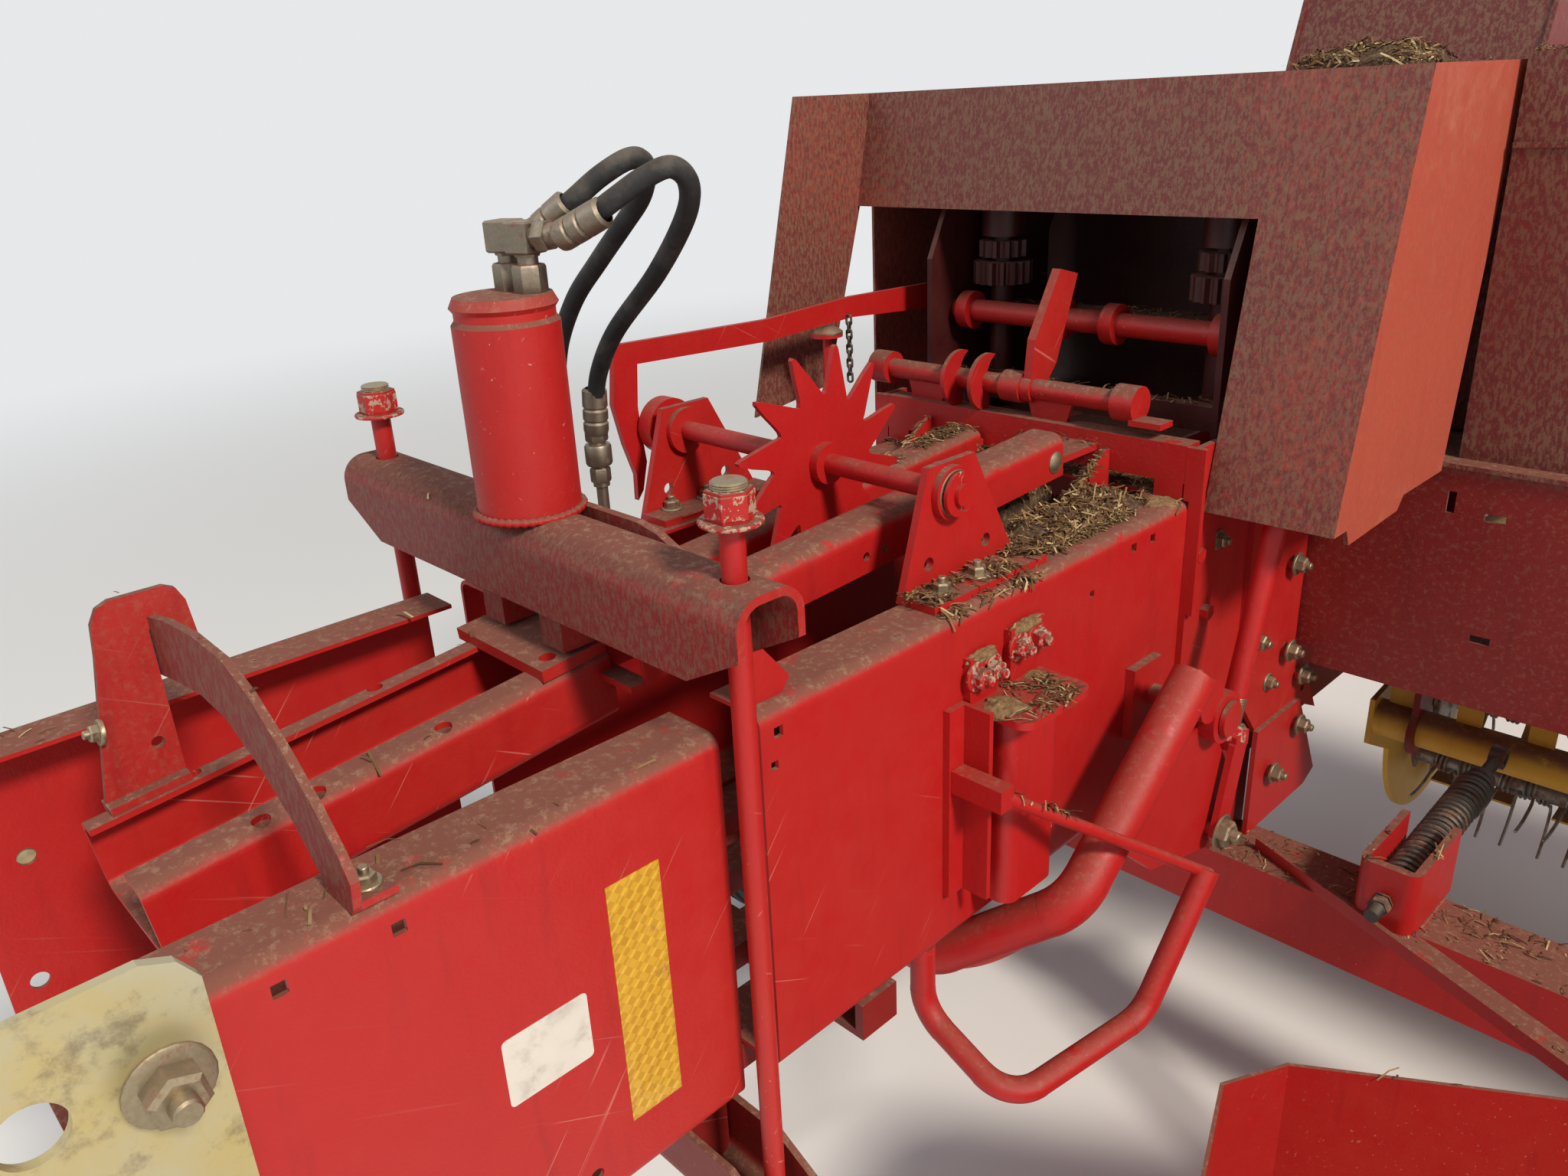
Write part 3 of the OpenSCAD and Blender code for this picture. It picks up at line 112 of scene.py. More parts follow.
class Value:  # a socket of a material that can be used in sums
    def __init__(self, finish, socket):
        self.finish, self.socket = finish, socket

    def math(self, operation, *others):
        return self.finish.node("Math", {"operation": operation}, dict(enumerate((self, *others))))

    def __add__(self, other):
        return self.math("ADD", other)

    def __sub__(self, other):
        return self.math("SUBTRACT", other)

    def __rsub__(self, other):
        return self.finish.node("Math", {"operation": "SUBTRACT"}, {0: other, 1: self})

    def __mul__(self, other):
        return self.math("MULTIPLY", other)

    __radd__, __rmul__ = __add__, __mul__

    def step(self, low, high):  # 0 below low, 1 above high, smooth between
        return self.finish.node("MapRange", {"interpolation_type": "SMOOTHSTEP"},
                                {"Value": self, "From Min": low, "From Max": high})


class Finish:  # one material, or the world, and the nodes in it
    def __init__(self, name, kind="Material"):
        self.owner = (bpy.data.materials if kind == "Material" else bpy.data.worlds).new(name)
        self.owner.use_nodes = True
        self.tree = self.owner.node_tree
        self.tree.nodes.clear()
        self.output = self.tree.nodes.new("ShaderNodeOutput" + kind)

    def node(self, kind, settings=None, sockets=None, out=0):
        made = self.tree.nodes.new("ShaderNode" + kind)
        for key, value in (settings or {}).items():
            if key == "stops":
                ramp = made.color_ramp
                while len(ramp.elements) < len(value):
                    ramp.elements.new(0.5)
                for element, (place, colour) in zip(ramp.elements, value):
                    element.position, element.color = place, (*colour, 1)
            else:
                setattr(made, key, value)
        for key, value in (sockets or {}).items():
            socket = made.inputs[key]
            if isinstance(value, Value):
                self.tree.links.new(value.socket, socket)
            else:
                socket.default_value = (*value, 1) if socket.type == "RGBA" else value
        return Value(self, made.outputs[out])

    def place(self):  # metres in the part's own axes
        return self.node("TexCoord", out="Object")

    def stretched(self, x, y, z, angle=0):  # the part's axes, turned about X where an angle is given
        place = self.place()
        if angle:
            place = self.node("VectorRotate", {"rotation_type": "X_AXIS"}, {"Vector": place, "Angle": angle})
        return self.node("VectorMath", {"operation": "MULTIPLY"}, {0: place, 1: (x, y, z)})

    def noise(self, scale, detail=4, rough=0.55, vector=None):
        return self.node("TexNoise", {"noise_dimensions": "3D"}, {
            "Vector": vector or self.place(), "Scale": scale, "Detail": detail, "Roughness": rough})

    def along(self, axis, vector="Object"):  # place on an axis, or how far a face looks that way ("Normal")
        return self.node("SeparateXYZ", None, {0: self.node("TexCoord", out=vector)}, out="XYZ".index(axis))

    def mix(self, a, b, factor):
        return self.node("Mix", {"data_type": "RGBA"}, {0: factor, 6: a, 7: b}, out=2)

    def bump(self, height, distance, strength=1):
        return self.node("Bump", None, {"Height": height, "Distance": distance, "Strength": strength})

    def show(self, shader):
        self.tree.links.new(shader.socket, self.output.inputs["Surface"])
        return self.owner

    def finish(self, sockets):
        return self.show(self.node("BsdfPrincipled", None, sockets))


# finishes

paintColours = {
    "red": {"base": (0.43, 0.0085, 0.009), "faded": (0.45, 0.019, 0.014), "deep": (0.27, 0.006, 0.008)},
    # paler, browner red of the hood: sun-faded paint, lightened further as painted sunlight
    "fadedAndLitRed": {"base": (0.48, 0.085, 0.05), "faded": (0.64, 0.27, 0.17), "deep": (0.42, 0.05, 0.032)},
    # darker copy of the red: painted shade
    "shaded": {"base": (0.20, 0.006, 0.006), "faded": (0.26, 0.014, 0.012), "deep": (0.11, 0.004, 0.005)},
    # near-black red: painted shade inside the knotter hood
    "paintedInnerShade": {"base": (0.045, 0.006, 0.006), "faded": (0.06, 0.017, 0.012), "deep": (0.014, 0.005, 0.005)},
    "yellow": {"base": (0.72, 0.40, 0.03), "faded": (0.76, 0.50, 0.12), "deep": (0.46, 0.23, 0.02)},
    "dust": (0.185, 0.073, 0.048),
    "pale": (0.33, 0.205, 0.13),
    "scratch": (0.62, 0.27, 0.22),
    # dark stain: partly dirt, partly painted shade
    "stainAndShade": (0.115, 0.023, 0.023),
    "vein": (0.20, 0.105, 0.062),
    "rust": (0.10, 0.032, 0.018),
    "freshRust": (0.24, 0.10, 0.05),
    "bare": (0.42, 0.29, 0.21),
}


def makePaint(name, tone, dust=0.5, filmAndShade=0.0, scratched=0.5, chipped=0.0, clean=-2000):
    f = Finish(name)
    colours = paintColours[tone]
    broad = f.noise(1.9, 2)
    mottle = f.noise(27, 4, 0.72)
    runs = f.noise(1, 3, 0.6, f.stretched(42, 42, 5))
    grain = f.noise(330, 2)
    colour = f.mix(colours["base"], colours["faded"], (broad * 0.8 + mottle * 0.5).step(0.55, 0.95))
    colour = f.mix(colour, colours["deep"], runs.step(0.55, 0.8) * 0.5)
    for turn in (0.5, -0.9):  # fine scratches in two directions
        lines = f.noise(1, 2, 0.5, f.stretched(260, 5, 260, turn))
        mask = lines.step(0.70, 0.76) * broad.step(0.42, 0.6) * scratched
        colour = f.mix(colour, paintColours["scratch"], mask * 0.6)
    # dust film on faces that look up, broken up by the weather
    upward = f.along("Z", "Normal").step(0.2, 0.85)
    patchy = (mottle * 1.7 + runs * 0.5 + broad * 0.7 - 0.95).step(0.0, 0.42)
    film = ((upward * 0.95 + 0.05) * patchy * dust * 1.5).math("MINIMUM", 0.94)
    colour = f.mix(colour, paintColours["dust"], film)
    specks = f.noise(120, 4, 0.8)
    pale = (upward * dust * 1.1 + filmAndShade * 0.3) * specks.step(0.50, 0.66) * 0.7
    colour = f.mix(colour, paintColours["pale"], pale)
    if filmAndShade:  # brown film with marks that dew leaves as it runs down; its dark stain is partly painted shade
        drops = f.noise(1, 4, 0.75, f.stretched(190, 190, 80))
        # painted shade: the stain is strongest on faces that look to the rear or lie left of the hood's edge,
        # none below the clean height
        shaded = (0.15 - f.along("Y", "Normal") * 0.85).math("MAXIMUM", 0.12)
        shaded = shaded.math("MAXIMUM", f.along("X").step(at(-270, 0, 0).x, at(-300, 0, 0).x))
        shaded = shaded * f.along("Z").step(at(0, 0, clean - 8).z, at(0, 0, clean + 8).z)
        stainAndShade = (drops * 0.5 + broad * 0.5).step(0.22, 0.50) * filmAndShade * shaded
        colour = f.mix(colour, paintColours["stainAndShade"], stainAndShade * 0.95)
        veins = f.noise(1, 3, 0.8, f.stretched(230, 230, 95)).step(0.45, 0.58) * broad.step(0.1, 0.42)
        colour = f.mix(colour, paintColours["vein"], veins * shaded * filmAndShade * 0.8)
        film = film + stainAndShade * 0.3
    chips = f.noise(58 + 60 * chipped, 4, 0.75).step(0.745 - 0.22 * chipped, 0.76 - 0.2 * chipped)
    colour = f.mix(colour, paintColours["bare"] if chipped else paintColours["rust"], chips)
    rough = 0.34 + film * 0.5 + mottle * 0.16 + chips * 0.3
    return f.finish({
        "Base Color": colour,
        "Roughness": rough.math("MINIMUM", 0.92),
        "Normal": f.bump(grain * 0.3 + mottle, 0.0012, 0.55),
        "Specular IOR Level": 0.38,
    })


def makeSteel(name, base, rust=0.5, rough=0.4):
    f = Finish(name)
    patches = f.noise(31, 5, 0.72)
    grain = f.noise(290, 3)
    rusty = patches.step(0.62 - 0.24 * rust, 0.72 - 0.16 * rust)
    colour = f.mix(base, tuple(c * 0.6 for c in base), grain)
    colour = f.mix(colour, f.mix(paintColours["rust"], paintColours["freshRust"], grain), rusty * 0.85)
    film = f.along("Z", "Normal").step(0.2, 0.9) * patches * 0.5
    colour = f.mix(colour, paintColours["pale"], film)
    return f.finish({
        "Base Color": colour,
        "Metallic": 0.9 - rusty * 0.8 - film * 0.6,
        "Roughness": rough + rusty * 0.4 + grain * 0.12 + film * 0.3,
        "Normal": f.bump(grain * 0.3 + patches, 0.0008, 0.6),
    })


def makeZinc(name):
    f = Finish(name)
    bloom = f.noise(9, 4, 0.6)
    grain = f.noise(240, 3)
    colour = f.mix((0.54, 0.44, 0.19), (0.50, 0.47, 0.34), bloom.step(0.35, 0.68))
    colour = f.mix(colour, (0.20, 0.15, 0.10), f.noise(33, 5, 0.7).step(0.5, 0.72) * 0.7)
    return f.finish({
        "Base Color": colour,
        "Metallic": 0.7 - bloom * 0.3,
        "Roughness": 0.45 + bloom * 0.25 + grain * 0.1,
        "Normal": f.bump(grain * 0.3 + bloom, 0.0006, 0.5),
    })


def makeRubber(name, tone, dusty=0.5):
    f = Finish(name)
    mottle = f.noise(30, 5, 0.65)
    grain = f.noise(420, 2)
    film = (f.along("Z", "Normal") * 0.35 + mottle).step(0.42, 0.95) * dusty
    colour = f.mix(tone, tuple(min(1, c * 2.6) for c in tone), mottle.step(0.45, 0.7))
    colour = f.mix(colour, (0.22, 0.165, 0.115), film)
    return f.finish({
        "Base Color": colour,
        "Roughness": 0.62 + film * 0.3 + grain * 0.08,
        "Normal": f.bump(grain * 0.6 + mottle, 0.0008, 0.6),
        "Specular IOR Level": 0.35,
    })


strawColours = [(0.0, (0.06, 0.028, 0.013)), (0.45, (0.14, 0.07, 0.03)),
                (0.8, (0.30, 0.18, 0.075)), (1.0, (0.58, 0.46, 0.24))]


def makeStraw(name):
    f = Finish(name)
    colour = f.node("ValToRGB", {"stops": strawColours}, {0: f.node("NewGeometry", out="Random Per Island")})
    colour = f.mix(colour, (0.12, 0.06, 0.03), f.noise(60, 3).step(0.45, 0.7) * 0.6)
    rough = 0.75 + f.noise(200, 1) * 0.2
    return f.finish({"Base Color": colour, "Roughness": rough, "Specular IOR Level": 0.25})


clumped = {
    "litter": {"grain": 150, "rough": 0.9, "depth": 0.006, "colours": [
        (0.3, (0.03, 0.014, 0.009)), (0.5, (0.10, 0.05, 0.024)), (0.62, (0.24, 0.145, 0.065)),
        (0.78, (0.42, 0.31, 0.16))]},
    "driedMud": {"grain": 120, "rough": 0.95, "depth": 0.004, "colours": [
        (0.3, (0.12, 0.06, 0.025)), (0.5, (0.25, 0.145, 0.062)), (0.66, (0.36, 0.23, 0.105)),
        (0.8, (0.46, 0.33, 0.18))]},
}


def makeClumped(name):
    f, s = Finish(name), clumped[name]
    clumps = f.noise(s["grain"], 5, 0.75)
    colour = f.node("ValToRGB", {"stops": s["colours"]}, {0: clumps})
    return f.finish({"Base Color": colour, "Roughness": s["rough"], "Normal": f.bump(clumps, s["depth"])})


def makeReflective(name):  # prismatic sheet: small cells set on their points
    f = Finish(name)
    corners = f.stretched(1, 1, 1, 0.785)
    cells = f.node("TexChecker", None, {
        "Vector": corners, "Scale": 150.0, "Color1": (0.60, 0.31, 0.016), "Color2": (0.40, 0.18, 0.008)})
    rows = f.node("TexBrick", {"offset": 0.5}, {
        "Vector": corners, "Scale": 24.0, "Color1": (0.68, 0.40, 0.03), "Color2": (0.52, 0.26, 0.012),
        "Mortar": (0.80, 0.55, 0.08), "Mortar Size": 0.03})
    worn = f.noise(40, 4, 0.7)
    colour = f.mix(f.mix(cells, rows, 0.45), (0.30, 0.12, 0.05), worn.step(0.6, 0.75) * 0.7)
    return f.finish({"Base Color": colour, "Roughness": 0.3 + worn * 0.3, "Coat Weight": 0.4})


def makeDecal(name, plain, edge):
    f = Finish(name)
    dirt = f.noise(36, 5, 0.7)
    colour = f.mix(plain, edge, dirt.step(0.5, 0.75) * 0.5)
    colour = f.mix(colour, paintColours["dust"], f.noise(9, 3).step(0.5, 0.8) * 0.4)
    return f.finish({"Base Color": colour, "Roughness": 0.45 + dirt * 0.3})


finishes = {  # by material slot
    "red_paint": makePaint("redPaint", "red", dust=0.7, scratched=0.8),
    # darker red: painted shade on the pieces of this slot
    "shaded_red_paint": makePaint("shadedRedPaint", "shaded", dust=0.85, scratched=0.4),
    "yellow_paint": makePaint("yellowPaint", "yellow", dust=0.6),
    "worn_steel": makeSteel("wornSteel", (0.34, 0.31, 0.27), 0.6),
    "zinc_plate": makeZinc("zincPlate"),
    "rubber_hose": makeRubber("blackRubber", (0.018, 0.018, 0.019), 0.35),
    "tyre": makeRubber("tyreRubber", (0.017, 0.017, 0.018), 0.75),
}
chippedPaint = makePaint("chippedPaint", "red", dust=0.7, scratched=0.3, chipped=1.0)
strawFinish = makeStraw("straw")
litterFinish = makeClumped("litter")
mudFinish = makeClumped("driedMud")
boltSteel = makeSteel("boltSteel", (0.40, 0.33, 0.22), 0.35, 0.38)
rimFinish = makeSteel("rimPaint", (0.50, 0.48, 0.43), 0.35, 0.5)
fittingSteel = makeSteel("fittingSteel", (0.30, 0.25, 0.19), 0.25, 0.42)
springSteel = makeSteel("springSteel", (0.11, 0.10, 0.09), 0.5, 0.5)
reflectiveFinish = makeReflective("reflectiveYellow")
decalFinish = makeDecal("plainDecal", (0.66, 0.62, 0.55), (0.30, 0.24, 0.20))

paintSets = [  # paints that only some pieces have
    # painted sunlight in the hood's paler red, and painted shade in its stain on faces that look to the rear
    (makePaint("hoodPaint", "fadedAndLitRed", dust=0.8, filmAndShade=1.0, scratched=0.3), ["hood"]),
    # housing: darker red as painted shade, and more painted shade in its stain above the clean height
    (makePaint("housingPaint", "shaded", dust=0.8, filmAndShade=1.0, scratched=0.3, clean=-14),
     ["feed_housing", "tall_shield"]),
    # the stain is dirt, and also painted shade on the rear faces of the beam
    (makePaint("beamPaint", "red", dust=0.95, filmAndShade=0.75, scratched=0.5), ["top_beam", "bale_guide"]),
    # painted shade inside the hood, on the twisters and their frame
    (makePaint("grimyPaint", "paintedInnerShade", dust=0.45, scratched=0.2),
     ["twister_frame", "right_twister", "left_twister"]),
    (makePaint("cylinderPaint", "red", dust=0.9, scratched=1.0, chipped=0.3), ["density_cylinder"]),
    (makePaint("wornPaint", "red", dust=0.3, scratched=0.9),
     ["needle_yoke", "needle_guard", "hay_dogs", "star_wheel", "tucker_shaft", "lift_rod", "metering_arm"]),
]
print("finishes made:", len(bpy.data.materials))

paintOf = {name: paint for paint, names in paintSets for name in names}
slotOf = {part["node"]: part["material_slot"] for part in frame["record"]["subparts"]}
softEdges = {"width": 0.0012, "segments": 2, "limit_method": "ANGLE", "angle_limit": math.radians(50)}
for name, obj in frame["nodes"].items():
    finish = paintOf.get(name, finishes[slotOf[name]])
    edges = obj.modifiers.new("softEdges", "BEVEL")
    for key, value in softEdges.items():
        setattr(edges, key, value)
    for materialSlot in obj.material_slots:
        materialSlot.material = finish
    if not obj.material_slots:
        obj.data.materials.append(finish)

# shapes


def aimed(place, way=(1, 0, 0)):  # an axis system at a place, with its Z along the way
    return Matrix.Translation(place) @ Vector(way).to_track_quat("Z", "Y").to_matrix().to_4x4()


def circle(sides):
    return [(math.cos(math.tau * i / sides), math.sin(math.tau * i / sides)) for i in range(sides)]


def joinRings(bm, rings, sides, closed=False):  # faces between rings of points; a ring may be a single point
    for low, high in [*zip(rings, rings[1:]), *([(rings[-1], rings[0])] if closed else [])]:
        for i in range(sides):
            j = (i + 1) % sides
            corners = [low[i % len(low)], low[j % len(low)], high[j % len(high)], high[i % len(high)]]
            face = list(dict.fromkeys(corners))
            if len(face) > 2:
                bm.faces.new(face)


def lathe(bm, profile, place=Matrix(), sides=24, closed=False):  # profile of (radius, height)
    rings = []
    for radius, height in profile:
        spots = [(radius * c, radius * s) for c, s in circle(sides)] if radius else [(0, 0)]
        rings.append([bm.verts.new(place @ Vector((x, y, height))) for x, y in spots])
    joinRings(bm, rings, sides, closed)


def plug(bm, radius, low, high, place, sides, rim=None, edge=0.002):  # a solid bar or nut with broken edges
    rim = rim or radius * 0.92
    lathe(bm, [(0, low), (rim, low), (radius, low + edge), (radius, high - edge), (rim, high), (0, high)],
          place, sides)


def thread(radius, depth, start, pitch, turns):  # the profile of a screw's grooves
    return [spot for k in range(turns) for spot in
            ((radius, start + pitch * k), (radius - depth, start + pitch * (k + 0.5)))]


def sweep(bm, path, radius, sides=8, closed=False):  # round wire or tube along a path
    count = len(path)
    side = (path[1] - path[0]).normalized().orthogonal().normalized()
    rings = []
    for i, point in enumerate(path):
        ahead = path[(i + 1) % count] if closed or i < count - 1 else point
        behind = path[i - 1] if closed or i > 0 else point
        turned = (ahead - behind).normalized()
        side = (side - turned * side.dot(turned)).normalized()
        other = turned.cross(side)
        r = radius(i / (count - 1)) if callable(radius) else radius
        rings.append([bm.verts.new(point + side * c * r + other * s * r) for c, s in circle(sides)])
    if not closed:
        bm.faces.new(list(reversed(rings[0])))
        bm.faces.new(rings[-1])
    joinRings(bm, rings, sides, closed)


def smoothPath(points, steps=10):  # a curve through the points
    points = [Vector(p) for p in points]
    ends = [2 * points[0] - points[1], *points, 2 * points[-1] - points[-2]]
    path = []
    for a, b, c, d in zip(ends, ends[1:], ends[2:], ends[3:]):
        for k in range(steps):
            t = k / steps
            path.append(0.5 * ((2 * b) + (c - a) * t + (2 * a - 5 * b + 4 * c - d) * t * t
                               + (3 * b - a - 3 * c + d) * t ** 3))
    path.append(points[-1])
    return path


def slab(bm, low, high, place=Matrix()):  # a block between two corners
    size = Vector(high) - Vector(low)
    middle = (Vector(high) + Vector(low)) / 2
    bmesh.ops.create_cube(bm, matrix=place @ Matrix.Translation(middle) @ Matrix.Diagonal((*size, 1)))


def addPiece(name, bm, body, slot, finish=None, smooth=None):
    mesh = bpy.data.meshes.new(name)
    bmesh.ops.recalc_face_normals(bm, faces=bm.faces)
    bm.to_mesh(mesh)
    bm.free()
    obj = bpy.data.objects.new(name, mesh)
    bpy.context.collection.objects.link(obj)
    mesh.materials.append(finish or finishes[slot])
    if smooth:  # the largest angle that is still shaded smooth
        mesh.shade_smooth()
        mesh.set_sharp_from_angle(angle=math.radians(smooth))
    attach(obj, body)
    return obj


# floor and light

stageSettings = {
    "floor": (0.80, 0.78, 0.75),
    "reach": 40,
    "backdrop": (0.80, 0.81, 0.82),
    "sky": (0.86, 0.92, 1.0),
    "world": 0.4,
    "fade": (3.5, 9.0),  # the floor turns into the backdrop between these distances
    "aim": 0.7,
    "lights": {
        "keyLight": {"place": (9.2, -3.4, 9.4), "size": 1.9, "power": 1750, "colour": (1.0, 0.93, 0.82)},
        "fillLight": {"place": (-3.0, -7.0, 5.0), "size": 4.0, "power": 90, "colour": (0.9, 0.95, 1.0)},
    },
}


def makeFloor(s, middle):
    r = s["reach"]
    mesh = bpy.data.meshes.new("floor")
    mesh.from_pydata([(-r, -r, 0), (r, -r, 0), (r, r, 0), (-r, r, 0)], [], [(0, 1, 2, 3)])
    floor = bpy.data.objects.new("floor", mesh)
    bpy.context.collection.objects.link(floor)
    f = Finish("floorPale")
    lit = f.node("BsdfPrincipled", None, {"Base Color": s["floor"], "Roughness": 0.9})
    plain = f.node("Emission", None, {"Color": s["backdrop"], "Strength": 1.0})
    away = f.node("VectorMath", {"operation": "DISTANCE"}, {0: f.place(), 1: middle}, out=1)
    far = away.step(*s["fade"]) * f.node("LightPath", out="Is Camera Ray")
    mesh.materials.append(f.show(f.node("MixShader", None, {0: far, 1: lit, 2: plain})))
    floor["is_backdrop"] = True


def makeWorld(s):
    f = Finish("world", "World")
    seen = f.node("LightPath", out="Is Camera Ray").math("MAXIMUM", f.node("LightPath", out="Is Glossy Ray"))
    light = f.node("Background", None, {"Color": s["sky"], "Strength": s["world"]})
    shown = f.node("Background", None, {"Color": s["backdrop"], "Strength": 1.0})
    bpy.context.scene.world = f.show(f.node("MixShader", None, {0: seen, 1: light, 2: shown}))


def makeStage(s):
    low, high = cadBox
    middle = Vector(((low[0] + high[0]) / 2, (low[1] + high[1]) / 2, 0))
    makeFloor(s, middle)
    makeWorld(s)
    for name, light in s["lights"].items():
        data = bpy.data.lights.new(name, "AREA")
        data.size, data.energy, data.color = light["size"], light["power"], light["colour"]
        obj = bpy.data.objects.new(name, data)
        obj.location = light["place"]
        aim = middle + Vector((0, 0, s["aim"])) - obj.location
        obj.rotation_euler = aim.to_track_quat("-Z", "Y").to_euler()
        bpy.context.collection.objects.link(obj)
    bpy.context.scene.view_settings.view_transform = "Standard"


# seats on the frame

down = (0, 0, -1)


def seat(start, way, reach, among=frame["nodes"], graph=None):  # place, normal and piece that a line meets
    graph = graph or bpy.context.evaluated_depsgraph_get()
    hit, place, normal, _, obj, _ = bpy.context.scene.ray_cast(
        graph, Vector(start), Vector(way).normalized(), distance=reach)
    return (place, normal, obj.name) if hit and obj.name in among else None


# wheels

tyreShape = {
    "left_wheel": {"rim": 0.400, "ribs": 5, "lugs": 54, "studs": 6},
    "right_wheel": {"rim": 0.400, "ribs": 4, "lugs": 48, "studs": 5},
    "gauge_wheel": {"rim": 0.160, "ribs": 3, "lugs": 30, "studs": 4},
}
treadShape = {"width": 0.62, "groove": 0.028, "crown": 0.012, "edge": 0.004}  # the first two are shares


def makeTyre(node, s, t, r, half, rim, place):
    crown = []
    for i in range(s["ribs"]):  # ribs with grooves between them
        a, b = [(-t["width"] + 2 * t["width"] * k / s["ribs"]) * half for k in (i, i + 1)]
        top = r - 0.002 - t["crown"] * ((a + b) / 2 / half) ** 2
        foot, edge = top - t["groove"] * r, t["edge"]
        crown += [(foot, a + edge), (top, a + 2 * edge), (top, b - 2 * edge), (foot, b - edge)]
    wall = r - rim
    side = [(rim + 0.004, 0.74), (rim + 0.018, 0.80), (rim + wall * 0.3, 0.94), (rim + wall * 0.52, 0.995),
            (rim + wall * 0.72, 0.97), (r * 0.955, 0.86), (r * 0.975, 0.74), (r * 0.965, 0.66)]
    profile = [(radius, -share * half) for radius, share in side] + crown
    profile += [(radius, share * half) for radius, share in reversed(side)]
    bm = bmesh.new()
    lathe(bm, profile, place, 96, closed=True)
    wide, deep, middle = math.tau * r / s["lugs"] * 0.3, half * 0.085, half * 0.80
    for i in range(s["lugs"]):  # shoulder blocks
        for hand in (-1, 1):
            turn = place @ Matrix.Rotation(math.tau * (i + 0.25 * (hand + 1)) / s["lugs"], 4, "Z")
            slab(bm, (r * 0.925, -wide, hand * middle - deep), (r * 0.982, wide, hand * middle + deep), turn)
    tyre = addPiece(node.replace("_wheel", "Tyre"), bm, node, "tyre", smooth=28)
    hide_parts(node)


def makeRim(node, half, rim, place, hub, deep):
    w = half * 0.78
    outer = [(0.006, 0), (0.014, 0.004), (0.004, 0.012), (-0.006, 0.03), (-0.022, 0.05)]  # tyre side
    inner = [(-0.03, 0.05), (-0.012, 0.012), (-0.002, 0)]
    profile = [(rim + a, b - w) for a, b in outer] + [(rim + a, w - b) for a, b in outer[::-1] + inner[::-1]]
    bm = bmesh.new()
    lathe(bm, profile + [(rim + a, b - w) for a, b in inner], place, 72, closed=True)
    dish = [(0.03, 0.045), (rim * 0.42, 0.045), (rim * 0.47, 0.035), (rim * 0.62, -0.005),
            (rim - 0.05, -0.02), (rim - 0.028, -0.015)]
    plate = [(a, b * deep) for a, b in dish] + [(a, (b - 0.006) * deep) for a, b in reversed(dish)]
    lathe(bm, plate, hub, 64, closed=True)
    cap = [(0, 0.105), (rim * 0.14, 0.10), (rim * 0.17, 0.085), (rim * 0.17, 0.05), (rim * 0.23, 0.044)]
    lathe(bm, [(a, b * deep) for a, b in cap], hub, 32)
    rimPiece = addPiece(node.replace("_wheel", "Rim"), bm, node, "worn_steel", rimFinish, smooth=35)
    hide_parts(node)


def makeWheelNuts(node, studs, rim, hub, deep):
    bm = bmesh.new()
    for c, s in circle(studs):
        spot = hub @ Matrix.Translation((rim * 0.32 * c, rim * 0.32 * s, 0.045 * deep))
        for sides, profile in ((6, [(0, 0.020), (0.010, 0.018), (0.010, 0)]),
                               (10, [(0, 0.03), (0.006, 0.03), (0.006, 0)])):
            lathe(bm, [(a * deep, b * deep) for a, b in profile], spot, sides)
    valve = [(0.8, 0.0), (0.83, 0.03), (0.85, 0.05)]
    sweep(bm, [hub @ Vector((rim * a, 0, b * deep)) for a, b in valve], 0.004, 8)
    addPiece(node.replace("_wheel", "WheelNuts"), bm, node, "worn_steel", boltSteel, smooth=30)


for node, shape in tyreShape.items():
    low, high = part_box(node)
    middle = (low + high) / 2
    half, rim = (high.x - low.x) / 2, shape["rim"] / 2
    place = aimed(middle)
    hub = place @ Matrix.Scale(-1 if middle.x < 0 else 1, 4, (0, 0, 1))  # looks away from the machine
    deep = min(1.0, half / 0.12)  # a narrow wheel has a shallow hub
    makeTyre(node, shape, treadShape, (high.z - low.z) / 2, half, rim, place)
    makeRim(node, half, rim, place, hub, deep)
    makeWheelNuts(node, shape["studs"], rim, hub, deep)
print("wheels made")

# hydraulic hoses, replacing the plain ones

hoseLines = {
    "diameter": 0.0172,
    "routes": [  # one point list each, from the ferrule at the elbow up, over and down to the coupling
        [(14, 127, 361), (30, 136, 374), (44, 148, 387), (57, 164, 402), (68, 182, 413), (71, 194, 413),
         (65, 204, 403), (46, 211, 383), (10, 216, 358), (-34, 220, 327), (-82, 223, 290), (-116, 224, 246),
         (-130, 223, 200), (-135, 222, 160)],
        [(56, 128, 363), (71, 135, 371), (92, 150, 387), (107, 168, 401), (119, 186, 408), (119, 202, 395),
         (97, 214, 368), (36, 228, 319), (-44, 238, 262), (-86, 244, 218), (-101, 246, 182),
         (-104, 246, 160)],
    ],
    "elbows": [(-14, 117, 314), (15, 117, 314)],
    "low": [(-135, 222, 5), (-105, 246, 45.3)],
    # low, high and size of each hex, then top, bottom, size and sides of the coupling's rings
    "adapters": [(0.0, 0.025, 0.0138), (0.031, 0.035, 0.0105)],
    "couplings": [(161, 146, 0.0115, 6), (143, 122, 0.0135, 20), (119, 104, 0.0105, 6)],
    "ferrule": [(0, 0), (0.0115, 0), (0.0125, 0.004), (0.0125, 0.011), (0.0108, 0.013), (0.0125, 0.015),
                (0.0125, 0.024), (0.0108, 0.026), (0.0125, 0.028), (0.0122, 0.044), (0.0090, 0.046)],
}


